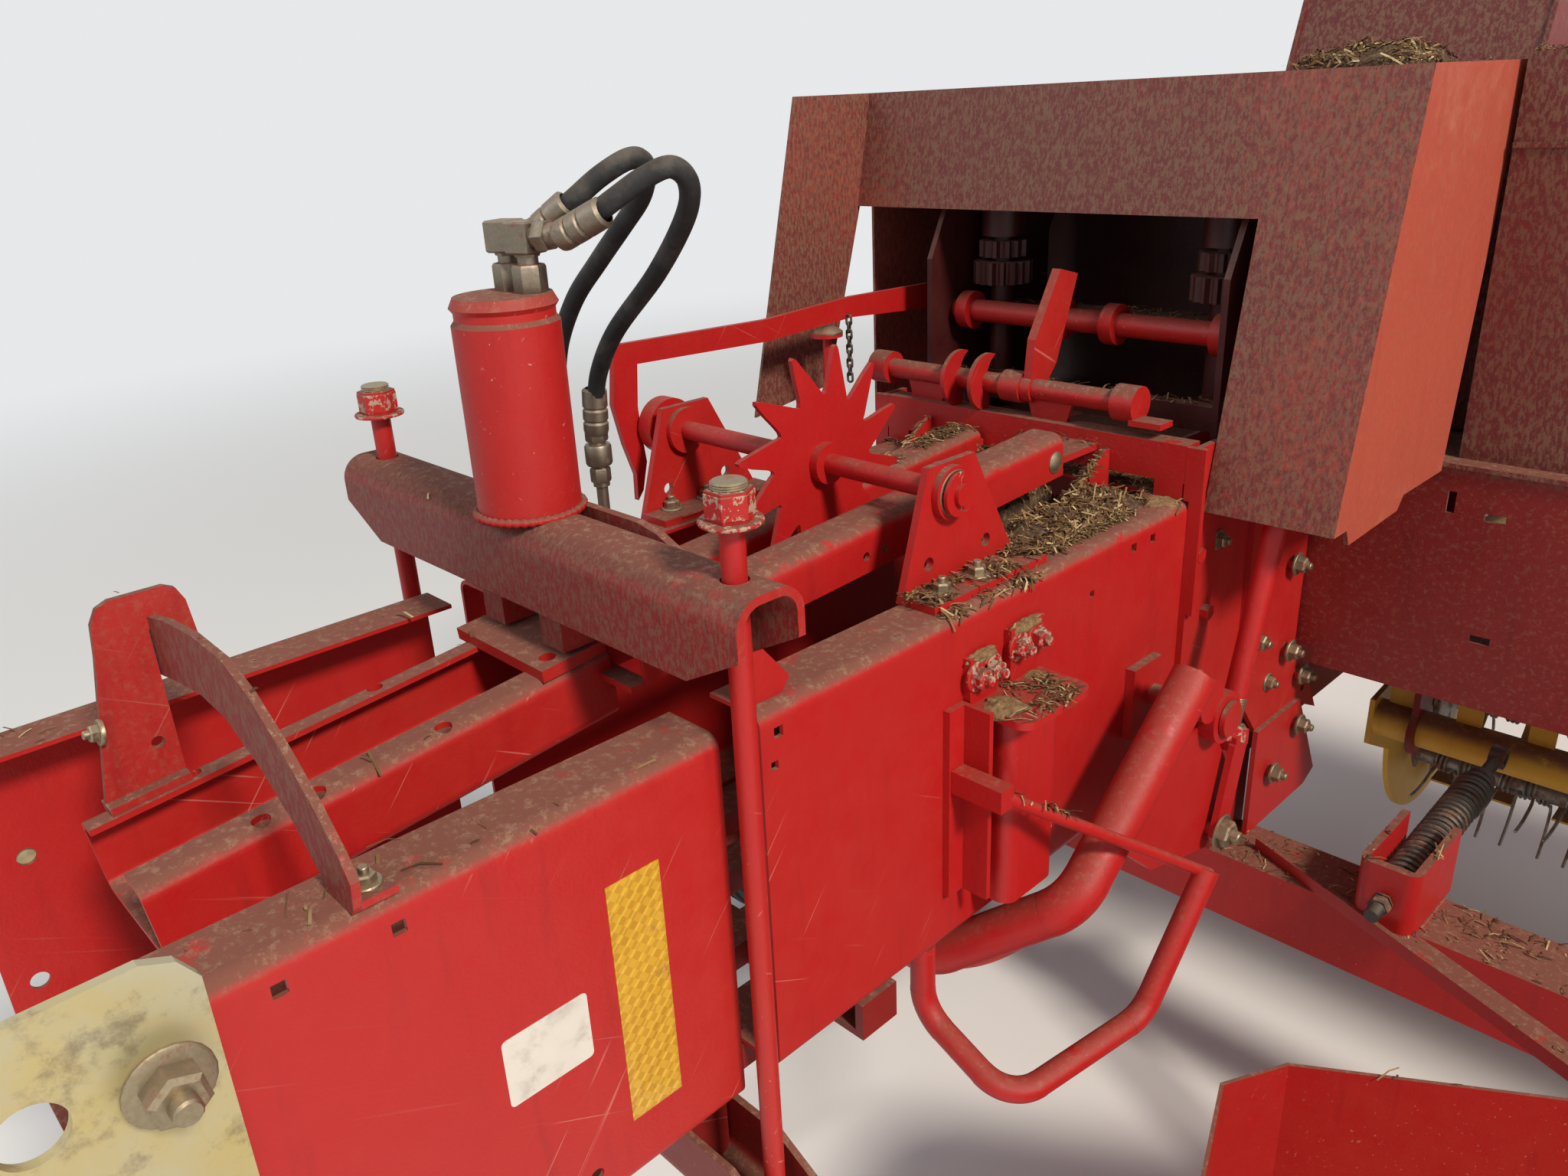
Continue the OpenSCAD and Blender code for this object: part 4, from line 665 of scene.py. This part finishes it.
def addElbow(steel, foot, end, h):  # hexes on the cylinder, block elbow and the neck towards the hose
    for low, high, size in h["adapters"]:
        plug(steel, size, low, high, Matrix.Translation(foot), 6)
    sweep(steel, [foot + Vector((0, 0, 0.02)), foot + Vector((0, 0, 0.04))], 0.0085, 14)
    block = foot + Vector((0, 0, 0.046))
    way = (end - block).normalized()
    turn = Matrix.Translation(block) @ Matrix.Rotation(math.atan2(way.y, way.x) + math.pi / 4, 4, "Z")
    plug(steel, 0.0168, -0.0125, 0.0125, turn, 4, 0.0150, 0.0015)
    sweep(steel, [block + way * 0.008, end + way * 0.004], 0.0098, 12)
    plug(steel, 0.0128, 0, 0.013, aimed(block + way * 0.014, way), 6, 0.0118)


def makeHoses(h):
    rubber, steel = bmesh.new(), bmesh.new()
    for route, (x, y, z), elbow in zip(h["routes"], h["low"], h["elbows"]):
        path = smoothPath([at(*p) for p in route], 9)
        sweep(rubber, path, h["diameter"] / 2, 14)
        for end, ahead in ((path[0], path[4]), (path[-1], path[-5])):  # crimped ferrules
            along = (ahead - end).normalized()
            lathe(steel, h["ferrule"], aimed(end - along * 0.006, along), 16)
        addElbow(steel, at(*elbow), path[0], h)
        for top, bottom, size, sides in h["couplings"]:
            plug(steel, size, 0, (top - bottom) / 1000, Matrix.Translation(at(x, y, bottom)), sides)
        sweep(steel, [at(x, y, 164), at(x, y, 100)], 0.0085, 12)
        sweep(steel, [at(x, y, 104), at(x, y, z)], 0.006, 12)
    hoses = addPiece("densityHoses", rubber, "chassis", "rubber_hose", smooth=50)
    fittings = addPiece("hoseFittings", steel, "chassis", "worn_steel", fittingSteel, smooth=32)
    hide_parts("hydraulic_lines")
    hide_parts("hydraulic_lines")


makeHoses(hoseLines)
print("hoses made")

# tension spring of the pickup lift

springShape = {"coils": 27, "wire": 0.0041, "from": 0.066, "to": 0.378, "foot": (925, -522), "lean": -87,
               "rod": 0.009, "long": 0.470, "eye": 0.017, "threads": 22, "pitch": 0.0028}


def makeSpring(s):
    low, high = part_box("lift_spring")
    foot = Vector(((low.x + high.x) / 2, at(0, s["foot"][0], 0).y, at(0, 0, s["foot"][1]).z))
    turn = Matrix.Translation(foot) @ Matrix.Rotation(math.radians(s["lean"]), 4, "X")
    bm = bmesh.new()
    start, end = s["from"], s["to"]
    radius = (high.x - low.x) / 2 - s["wire"]
    steps = s["coils"] * 20
    helix = []
    for i in range(steps + 1):
        a = math.tau * i / 20
        share = i / steps
        pull = min(1, share * s["coils"], (1 - share) * s["coils"])  # end turns draw in to the rod
        r = 0.012 + (radius - 0.012) * max(0.2, pull)
        helix.append(turn @ Vector((r * math.cos(a), r * math.sin(a), start + (end - start) * share)))
    sweep(bm, helix, s["wire"], 8)
    sweep(bm, [turn @ Vector((0, 0, 0)), turn @ Vector((0, 0, s["long"]))], s["rod"], 16)
    for z in (start - 0.012, end + 0.004):  # caps that hold the spring on the rod
        lathe(bm, [(0, z), (0.016, z), (0.019, z + 0.003), (0.019, z + 0.007), (0, z + 0.007)], turn, 24)
    for z in (start - 0.030, 0.02):
        plug(bm, 0.0135, z, z + 0.013, turn, 6, 0.0125)
    for i in range(s["threads"]):  # thread at the free end
        z = 0.002 + i * s["pitch"]
        lathe(bm, [(0.0088, z), (0.0096, z + 0.0009), (0.0088, z + 0.0018)], turn, 16)
    lathe(bm, [(s["rod"], -0.010), (s["eye"], -0.010), (s["eye"], 0.010), (s["rod"], 0.010)],
          turn @ aimed((0, 0, s["long"] - 0.008)), 28, closed=True)
    spring = addPiece("liftSpring", bm, "chassis", "worn_steel", springSteel, smooth=40)
    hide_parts("lift_spring")


makeSpring(springShape)
print("spring made")

# tined reel of the pickup

reelShape = {"hub": (0, 1760, -588), "reach": 0.260, "shaft": 0.0248, "bars": 6, "bar": 0.014,
             "barRing": 0.150, "perBar": 15, "first": 302.5, "spacing": 100, "wire": 0.0028, "coil": 0.0185,
             "coilTurns": 3, "sweepBack": 0.035}


def tinePath(s, x, hand, place):  # coil round the bar, then the tine that sweeps back
    coil, ring = s["coil"], s["barRing"]
    path = []
    for i in range(s["coilTurns"] * 12 + 1):
        a = math.pi / 2 - math.tau * i / 12
        path.append(place @ Vector((x + hand * (0.005 + i * 0.0006), -coil * math.cos(a),
                                    ring + coil * math.sin(a))))
    for i in range(1, 9):
        t = i / 8
        path.append(place @ Vector((x + hand * (0.028 + 0.002 * t), s["sweepBack"] * t * t,
                                    ring + coil + (s["reach"] - ring - coil) * t)))
    return path


def makeReel(s):
    low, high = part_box("tine_reel")
    hub, ring = at(*s["hub"]), s["barRing"]
    turns = [Matrix.Rotation(math.tau * k / s["bars"], 4, "X") for k in range(s["bars"])]
    bm = bmesh.new()
    sweep(bm, [Vector((x, hub.y, hub.z)) for x in (low.x + 0.001, high.x - 0.001)], s["shaft"], 24)
    for x in (low.x + 0.020, high.x - 0.032):  # spider plates, cut out between their arms
        for turn in turns:
            slab(bm, (0, -0.026, 0), (0.006, 0.026, 0.166), Matrix.Translation((x, hub.y, hub.z)) @ turn)
        lathe(bm, [(0.025, 0), (0.070, 0), (0.070, 0.009), (0.025, 0.009)], aimed((x, hub.y, hub.z)), 32,
              closed=True)
    for turn in turns:
        place = Matrix.Translation((0, hub.y, hub.z)) @ turn
        sweep(bm, [place @ Vector((x, 0, ring)) for x in (low.x + 0.026, high.x - 0.026)], s["bar"], 14)
        for j in range(s["perBar"]):
            x = at(s["first"] + (j + 0.5) * s["spacing"], 0, 0).x
            for hand in (-1, 1):  # each clip holds two tines
                sweep(bm, tinePath(s, x, hand, place), s["wire"], 5)
            slab(bm, (x - 0.006, -0.012, ring - 0.022), (x + 0.006, 0.012, ring - 0.012), place)
    reel = addPiece("tineReel", bm, "tine_reel", "worn_steel", smooth=45)
    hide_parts("tine_reel")


makeReel(reelShape)
print("reel made")

# bolts, nuts and washers

boltSets = {  # way of the line that finds the seat, then its start and the size across the flats
    "rightSideBolts": ((-1, 0, 0), [(420, *spot) for spot in (
        (1122, -294, 19), (1178, -352, 19), (1110, -160, 19), (1010, -240, 19), (1175, -431, 19),
        (1102, -480, 19), (1040, -60, 16), (1080, -330, 16), (905, -70, 16), (905, -300, 16),
        (-322, -30, 30), (985, -36, 16))]),
    "leftSideBolts": ((1, 0, 0), [(-460, *spot) for spot in (
        (1122, -294, 19), (1178, -352, 19), (1110, -160, 19), (1010, -240, 19), (905, -70, 16),
        (905, -300, 16), (-322, -30, 30),
        *[(y, z, 16) for y in (2300, 1400, 1700, 2000) for z in (-60, -300)])]),
    "topBolts": (down, [
        (-58, -250, 150, 12), (214, -182, 150, 13), (196, 470, 160, 16), (196, 415, 160, 16),
        (-212, 470, 160, 16), (-212, 415, 160, 16)]),
}
dogBolts = {"out": 241.4, "flats": 19, "places": [
    (412, -66), (434, -66), (478, -58), (508, -58), (518, -232), (518, -280)]}


def addBolt(bm, place, way, flats):  # washer, hexagonal head and stud
    r = flats / 2000 / math.cos(math.pi / 6)
    turn = aimed(place, way)
    lathe(bm, [(0, 0.0022), (r * 1.35, 0.0022), (r * 1.45, 0.0012), (r * 1.45, -0.001)], turn, 20)
    lathe(bm, [(0, r * 1.15), (r * 0.80, r * 1.15), (r, r * 0.98), (r, 0.001)],
          turn @ Matrix.Rotation(place.y * 40, 4, "Z"), 6)
    lathe(bm, [(0, r * 1.75), (r * 0.40, r * 1.75), (r * 0.48, r * 1.65), (r * 0.48, r)], turn, 12)


for name, (way, places) in boltSets.items():
    bm = bmesh.new()
    for x, y, z, flats in places:
        hit = seat(at(x, y, z), way, 0.8, bodies["chassis"])
        if hit:
            place, normal, _ = hit
            addBolt(bm, place, normal if normal.dot(Vector(way)) < 0 else -normal, flats)
    addPiece(name, bm, "chassis", "worn_steel", boltSteel, smooth=35)

bm = bmesh.new()
for y, z in dogBolts["places"]:
    for hand in (1, -1):
        addBolt(bm, at(hand * dogBolts["out"], y, z), (hand, 0, 0), dogBolts["flats"])
addPiece("dogBolts", bm, "chassis", "red_paint", chippedPaint, smooth=35)

# reflective strip and blank decal on the right side

signs = {
    "reflectiveStrip": {"y": (-21, 29), "z": (-302, -77), "thick": 0.6, "corner": 0.5,
                        "finish": reflectiveFinish, "slot": "yellow_paint"},
    "plainDecal": {"y": (-121, -48), "z": (-214, -154), "thick": 0.4, "corner": 4,
                   "finish": decalFinish, "slot": "zinc_plate"},
}


def makeSign(name, s):
    bm = bmesh.new()
    (y0, y1), (z0, z1), r = s["y"], s["z"], s["corner"]
    outline = []
    for y, z, start in ((y1 - r, z1 - r, 0), (y0 + r, z1 - r, 90), (y0 + r, z0 + r, 180),
                        (y1 - r, z0 + r, 270)):
        for k in range(5):
            a = math.radians(start + 22.5 * k)
            outline.append((y + r * math.cos(a), z + r * math.sin(a)))
    inner, outer = [[bm.verts.new(at(caseShape["half"] + out, y, z)) for y, z in outline]
                    for out in (-0.05, s["thick"])]
    joinRings(bm, [inner, outer], len(outline))
    bm.faces.new(outer)
    bm.faces.new(list(reversed(inner)))
    addPiece(name, bm, "chassis", s["slot"], s["finish"])


for name, s in signs.items():
    makeSign(name, s)

# chain that hangs from the metering arm

chainShape = {"top": (-266, 788, 174), "links": 9, "pitch": 0.0098, "straight": 0.34, "wire": 0.0016,
              "half": 0.0036}


def makeChain(c):
    bm = bmesh.new()
    top = at(*c["top"])
    for i in range(c["links"]):
        middle = top - Vector((0, 0, c["pitch"] * (i + 0.5)))
        turn = Matrix.Rotation(math.radians(90 * (i % 2) + 20), 4, "Z")
        straight = c["pitch"] * c["straight"]
        link = [middle + turn @ Vector((x * c["half"], 0, z * c["half"] + (straight if z > 0 else -straight)))
                for x, z in circle(16)]
        sweep(bm, link, c["wire"], 6, closed=True)
    addPiece("armChain", bm, "metering_arm", "worn_steel", springSteel, smooth=60)


makeChain(chainShape)
print("small parts made")

# welds, rod ends and nuts

weldLines = {  # middle and radius of a ring, or the two ends of a straight weld, then the thickness
    "beamWelds": {"body": "chassis", "rings": [((0, 99, 137.6), 45, 4.2)]},
    "tongueWelds": {"body": "tongue", "rings": [((-300, 4530, z), 39.5, 4) for z in (-579.5, -660.5)]},
    "axleWelds": {"body": "chassis", "straight": [
        ((429, 1000, -564.6), (429, 1084, -564.6), 3.5), ((505, 1000, -564.6), (505, 1084, -564.6), 3.5),
        ((446, 961, -564.6), (488, 961, -564.6), 3.5)]},
    "starBracketWelds": {"body": "chassis", "straight": [
        ((x, 405, 6.5), (x, 492, 6.5), 3) for x in (181, -182)]},
}


def makeWelds(name, w):
    bm = bmesh.new()
    paths = []
    for (x, y, z), radius, thick in w.get("rings", []):
        spots = circle(int(math.tau * radius / 2))
        paths.append(([at(x + radius * c, y + radius * s, z) for c, s in spots], thick))
    for start, end, thick in w.get("straight", []):
        count = int((Vector(end) - Vector(start)).length / 2)
        paths.append(([at(*Vector(start).lerp(Vector(end), i / count)) for i in range(count + 1)], thick))
    for path, thick in paths:  # the bead swells and thins along its way
        sweep(bm, path, lambda share: thick / 1000 * (0.82 + 0.18 * math.sin(share * len(path) * 1.9)), 8,
              closed="rings" in w)
    addPiece(name, bm, w["body"], "red_paint", smooth=70)


for name, weld in weldLines.items():
    makeWelds(name, weld)

rodShape = {"y": 99, "hex": 0.0186, "rod": 0.0135, "above": 0.006, "turns": 3, "pitch": 0.0018}


def makeRodEnds(s):
    low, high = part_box("tie_rods")
    steel, paint = bmesh.new(), bmesh.new()
    y = at(0, s["y"], 0).y
    for x in (low.x + 0.018, high.x - 0.018):
        hit = seat((x + 0.012, y, high.z + 0.1), down, 0.3)
        top = Matrix.Translation(Vector((x, y, hit[0].z if hit else high.z)))
        lathe(paint, [(0, 0.0006), (s["hex"] * 0.84, 0.0006), (s["hex"], -0.0026), (s["hex"], -0.0195),
                      (s["hex"] * 0.88, -0.0222)], top, 6)
        lathe(paint, [(0.0150, -0.0222), (0.0235, -0.0222), (0.0240, -0.0235), (0.0235, -0.0250),
                      (0.0150, -0.0250)], top, 28)
        grooves = thread(s["rod"], 0.001, s["above"] - 0.0012, -s["pitch"], s["turns"])
        lathe(steel, [(0, s["above"]), (s["rod"] - 0.0015, s["above"]), *grooves], top, 24)
    addPiece("rodNuts", paint, "chassis", "red_paint", chippedPaint, smooth=32)
    addPiece("rodEnds", steel, "chassis", "worn_steel", boltSteel, smooth=32)


makeRodEnds(rodShape)

starPins = {
    "middle": (450, 96),
    "wire": 0.0014,
    "shank": [(0.0, -0.016), (0.0, 0.013), (0.003, 0.018), (0.0, 0.0215), (-0.003, 0.018)],
    "end": [(0.001, -0.012), (0.001, -0.015), (0.006, -0.018), (0.012, -0.017)],
    "washer": [(0.0115, 0), (0.0225, 0), (0.0230, 0.001), (0.0225, 0.002), (0.0115, 0.002)],
}


def makeStarPins(s):
    bm = bmesh.new()
    spot = at(0, *s["middle"])
    spot.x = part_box("star_wheel")[1].x - 0.006
    for points, steps in ((s["shank"], 5), (s["end"], 4)):  # the split pin
        sweep(bm, smoothPath([spot + Vector((0, y, z)) for y, z in points], steps), s["wire"], 6)
    lathe(bm, s["washer"], aimed(spot - Vector((0.007, 0, 0))), 32, closed=True)
    addPiece("starShaftPins", bm, "star_wheel", "worn_steel", boltSteel, smooth=40)


makeStarPins(starPins)

# round heads, nuts and the thread on the lift rod

headSpots = [((170, 728, 48), (-1, 0, 0), 26), ((-271, 752, 166), down, 40)]  # start, way and size


def makeHeads(spots):
    bm = bmesh.new()
    for start, way, across in spots:
        hit = seat(at(*start), way, 0.3)
        if hit:
            r = across / 2000
            lathe(bm, [(0, r * 0.42), (r * 0.45, r * 0.37), (r * 0.8, r * 0.2), (r, 0.001), (r, -0.001)],
                  aimed(hit[0], -Vector(way)), 28)
    addPiece("roundHeads", bm, "chassis", "worn_steel", boltSteel, smooth=50)


makeHeads(headSpots)

liftRodShape = {
    "foot": (312, 806, -270), "way": (0, 119, 371), "nut": 0.0245, "thread": 0.0134, "turns": 13,
    "pitch": 0.0026, "pin": (312, 773, -380),
    "pinParts": [  # sides and profile of the washer, the nut and the end
        (28, [(0, 0.021), (0.021, 0.021), (0.022, 0.022), (0.022, 0.0236), (0.021, 0.0244), (0, 0.0244)]),
        (6, [(0, 0.036), (0.0142, 0.036), (0.0165, 0.0335), (0.0165, 0.0244)]),
        (14, [(0, 0.046), (0.0065, 0.046), (0.0075, 0.0445), (0.0075, 0.034)]),
    ],
}


def makeLiftRodParts(s):
    turn = aimed(at(*s["foot"]), s["way"])
    bm = bmesh.new()
    plug(bm, s["nut"], -0.004, 0.015, turn, 6, s["nut"] * 0.9)
    addPiece("clevisNut", bm, "lift_rod", "red_paint", chippedPaint, smooth=30)
    r = s["thread"]
    bm = bmesh.new()
    lathe(bm, [(r * 0.9, 0.014), *thread(r + 0.0008, 0.0007, 0.015, s["pitch"], s["turns"])], turn, 20)
    addPiece("rodThread", bm, "lift_rod", "worn_steel", boltSteel, smooth=20)
    bm = bmesh.new()
    for sides, profile in s["pinParts"]:
        lathe(bm, profile, aimed(at(*s["pin"])), sides)
    addPiece("liftPinNut", bm, "lift_rod", "worn_steel", boltSteel, smooth=30)


makeLiftRodParts(liftRodShape)

# dried mud in the corners

mudSpots = [  # start point and way of the line that finds the seat, then length, width and height
    ((264, 424, -80), down, (52, 44, 16)), ((250, 496, -80), down, (24, 30, 9)),
    ((238, 424, -20), down, (13, 46, 11)), ((238, 494, -20), down, (13, 56, 12)),
    ((-264, 424, -80), down, (52, 44, 16)), ((250, 518, -190), down, (20, 28, 10)),
    ((205, 800, 120), down, (40, 50, 14)),
    ((-150, -40, 60), down, (50, 34, 12)), ((120, 905, 120), down, (80, 40, 12)),
    ((0, 905, 120), down, (90, 46, 12)), ((-110, 905, 120), down, (70, 40, 10)),
    ((340, 750, -216), (-1, 0, 0), (26, 26, 7)),
]


def makeMud(spots):
    bm = bmesh.new()
    for k, (start, way, (long, wide, tall)) in enumerate(spots):
        hit = seat(at(*start), way, 0.35)
        if not hit:
            continue
        place, normal, _ = hit
        normal = normal if normal.dot(Vector(way)) < 0 else -normal
        turn = aimed(place - normal * tall / 4000, normal)
        for vert in bmesh.ops.create_icosphere(bm, subdivisions=5, radius=1.0)["verts"]:
            spread = 1 + 0.35 * noise.noise(vert.co * 1.3 + Vector((k * 5.0, 0, 0)))
            rough = noise.fractal(vert.co * 3.1 + Vector((0, k * 3.0, 0)), 0.9, 2.0, 5) * 0.32
            vert.co = turn @ (vert.co * Vector((long * spread, wide * spread, tall * (1 + rough))) / 2000)
    addPiece("mud_chassis", bm, "chassis", "worn_steel", mudFinish, smooth=80)
    print("mud made")


makeMud(mudSpots)

# driveline with its guards

driveShape = {"joint": (0, 3190, -230), "cradle": (-130, 4500, -434.5), "bell": 0.0495, "tube": 0.038,
              "ribs": 7, "pitch": 0.014, "taper": 0.0016, "shaft": 0.0150, "end": 0.0198, "pin": 0.0079}


def bellows(s, start, steps):  # corrugated bell; a rib's step tells how far in from the widest it lies
    ribs = []
    for k, step in enumerate(steps):
        z, r = start + s["pitch"] * k, s["bell"] - s["taper"] * step
        ribs += [(r - 0.003, z), (r, z + 0.004), (r, z + 0.009), (r - 0.003, z + 0.012)]
    return ribs


def makeDriveline(s):
    a, b = at(*s["joint"]), at(*s["cradle"])
    length = (b - a).length
    turn = aimed(a, b - a)
    tube, middle, steps = s["tube"], length * 0.52, range(s["ribs"])
    guard = bmesh.new()
    lathe(guard, [
        (tube - 0.006, 0.156), *bellows(s, 0.152, steps),
        (tube + 0.002, 0.262), (tube + 0.002, middle),
        (tube - 0.0025, middle + 0.006), (tube - 0.0025, length + 0.150),
        *bellows(s, length + 0.160, reversed(steps)), (tube - 0.008, length + 0.255),
    ], turn, 40, closed=True)
    steel = bmesh.new()
    for start, end, radius, sides in ((0.02, length + 0.27, s["shaft"], 16),
                                      (length + 0.27, length + 0.329, s["end"], 20)):
        sweep(steel, [turn @ Vector((0, 0, start)), turn @ Vector((0, 0, end))], radius, sides)
    for z in (length + 0.275, length + 0.305):
        lathe(steel, [(0.0199, z), (0.0199, z + 0.004), (0.0185, z + 0.006), (0.0185, z + 0.012),
                      (0.0199, z + 0.014)], turn, 24)
    for axis, reach in (((0, 0, 1), 0.032), ((1, 0, 0), 0.019)):  # cross of the joint
        sweep(steel, [a - Vector(axis) * reach, a + Vector(axis) * reach], s["pin"], 14)
    lathe(steel, [(0, -0.0196), (0.012, -0.016), (0.0192, -0.004), (0.0192, 0.004), (0.012, 0.016),
                  (0, 0.0196)], turn, 20)
    shaft = addPiece("drivelineShaft", steel, "driveline", "worn_steel", springSteel, smooth=40)
    cover = addPiece("drivelineGuard", guard, "driveline", "rubber_hose", smooth=40)
    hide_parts("driveline")
    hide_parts("driveline")


makeDriveline(driveShape)

# crank of the parking jack

crankShape = {"top": (-300, 4530, -80), "arm": 0.11, "rod": 0.0075}


def makeCrank(s):
    top, arm = at(*s["top"]), s["arm"]
    cap = bmesh.new()
    lathe(cap, [(0, 0.022), (0.030, 0.020), (0.0395, 0.012), (0.0395, 0.0005), (0, 0.0005)],
          Matrix.Translation(top), 36)
    bends = [(0, 0.016), (0, 0.040), (0.012, 0.052), (arm - 0.012, 0.056), (arm, 0.066), (arm, 0.078)]
    sweep(cap, smoothPath([top + Vector((x, 0, z)) for x, z in bends], 6), s["rod"], 12)
    addPiece("jackCap", cap, "tongue", "red_paint", smooth=40)
    grip = bmesh.new()
    lathe(grip, [(0, 0.072), (0.0125, 0.072), (0.0145, 0.080), (0.0145, 0.140), (0.0125, 0.150), (0, 0.150)],
          Matrix.Translation(top + Vector((arm, 0, 0))), 20)
    addPiece("jackGrip", grip, "tongue", "rubber_hose", smooth=40)


makeCrank(crankShape)
print("welds, driveline and jack made")

# chaff and straw that lies on the machine

chaffHeaps = {  # place and size of each heap in the case's millimetres; the mass under the straws is optional
    "chaffRightOfRail": {"x": (114, 208), "y": (545, 808), "mass": (-34, 16), "straws": 5200, "drop": 150},
    "chaffBetweenRails": {"x": (-58, 62), "y": (600, 812), "mass": (-46, 20), "straws": 2600, "drop": 150},
    "chaffLeftOfRail": {"x": (-172, -74), "y": (560, 800), "mass": (-60, 8), "straws": 1500, "drop": 150},
    "chaffOnCross": {"x": (-230, 236), "y": (800, 900), "straws": 1500, "drop": 60},
    "chaffOnHousingTop": {"x": (90, 560), "y": (1120, 1300), "straws": 1700, "drop": 700},
    "chaffOnSheets": {"x": (174, 232), "y": (380, 545), "straws": 500, "drop": 20},
    "chaffOnRails": {"x": (-230, 230), "y": (-300, 90), "straws": 60, "drop": 160},
    "chaffOnDogBox": {"x": (238, 320), "y": (400, 500), "straws": 260, "drop": 20},
    "chaffOnAxle": {"x": (236, 900), "y": (960, 1100), "straws": 420, "drop": -420},
    "chaffOnHood": {"x": (225, 345), "y": (985, 1130), "mass": (453, 474), "straws": 1600, "drop": 620,
                    "body": "hood"},
    "chaffInKnotters": {"x": (-200, 205), "y": (905, 1150), "straws": 1500, "drop": 300},
    "chaffInBox": {"x": (500, 1130), "y": (300, 880), "straws": 900, "drop": -430},
}


def addStraw(bm, place, normal, draw):
    length = 0.004 + 0.026 * draw.random() ** 3
    width = 0.0004 + 0.0009 * draw.random()
    turn = draw.random() * math.tau
    flat = Vector((math.cos(turn), math.sin(turn), 0))
    along = (flat - normal * flat.dot(normal)).normalized()
    along = (along + normal * draw.uniform(-0.1, 0.38)).normalized()
    side = along.cross(normal).normalized() * width
    lift = normal * (0.0006 + 0.004 * draw.random() ** 2)
    middle = place + lift + normal * draw.uniform(0, 0.15) * length
    a, b = place + lift - along * length / 2, place + lift + along * length / 2
    rows = [[bm.verts.new(p - side), bm.verts.new(p + side)] for p in (a, middle, b)]
    for (p, q), (r, s) in zip(rows, rows[1:]):
        bm.faces.new((p, q, s, r))


def makeMass(name, h, body):  # a lumpy packed mass, highest along its middle
    (x0, x1), (y0, y1), (base, top) = h["x"], h["y"], h["mass"]
    bm = bmesh.new()
    columns, rows = 26, 52
    grid = []
    for i in range(columns + 1):
        line = []
        for j in range(rows + 1):
            u, v = i / columns, j / rows
            edge = min(1, 5 * min(u, 1 - u)) * min(1, 6 * min(v, 1 - v))
            spot = Vector((x0 + (x1 - x0) * u, y0 + (y1 - y0) * v, 0))
            lump = noise.fractal(spot / 30, 1.0, 2.0, 4) * 11
            z = base + (top - base) * (0.25 + 0.75 * edge ** 0.5) * (0.72 + 0.28 * v) + lump * edge
            line.append(bm.verts.new(at(spot.x, spot.y, max(base, min(z, top + 14)))))
        grid.append(line)
    for a, b in zip(grid, grid[1:]):
        for j in range(rows):
            bm.faces.new((a[j], b[j], b[j + 1], a[j + 1]))
    for under in bmesh.ops.extrude_face_region(bm, geom=list(bm.faces))["geom"]:
        if isinstance(under, bmesh.types.BMVert):
            under.co.z = at(0, 0, base - 14).z
    mass = addPiece(name + "Mass", bm, body, "worn_steel", litterFinish, smooth=70)
    bpy.context.view_layer.update()
    return mass.name


def makeHeap(name, h, seed):
    draw = random.Random(seed)
    body = h.get("body", "chassis")
    rides = set(bodies[body])
    if "mass" in h:
        rides.add(makeMass(name, h, body))
    bm = bmesh.new()
    graph = bpy.context.evaluated_depsgraph_get()
    count = 0
    for _ in range(h["straws"] * 3):
        if count >= h["straws"]:
            break
        x, y = draw.uniform(*h["x"]), draw.uniform(*h["y"])
        clump = noise.noise(Vector((x, y, seed * 7.0)) / 34)
        if draw.random() > 0.55 + clump * 1.3:
            continue
        hit = seat(at(x, y, h["drop"]), down, 0.5, rides, graph)
        if hit and hit[1].z > 0.5:
            addStraw(bm, hit[0], hit[1], draw)
            count += 1
    addPiece(name, bm, body, "worn_steel", strawFinish)
    print(name, count)


for seed, (name, heap) in enumerate(chaffHeaps.items(), 1):
    makeHeap(name, heap, seed)

makeStage(stageSettings)
print("stage made")

low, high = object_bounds()
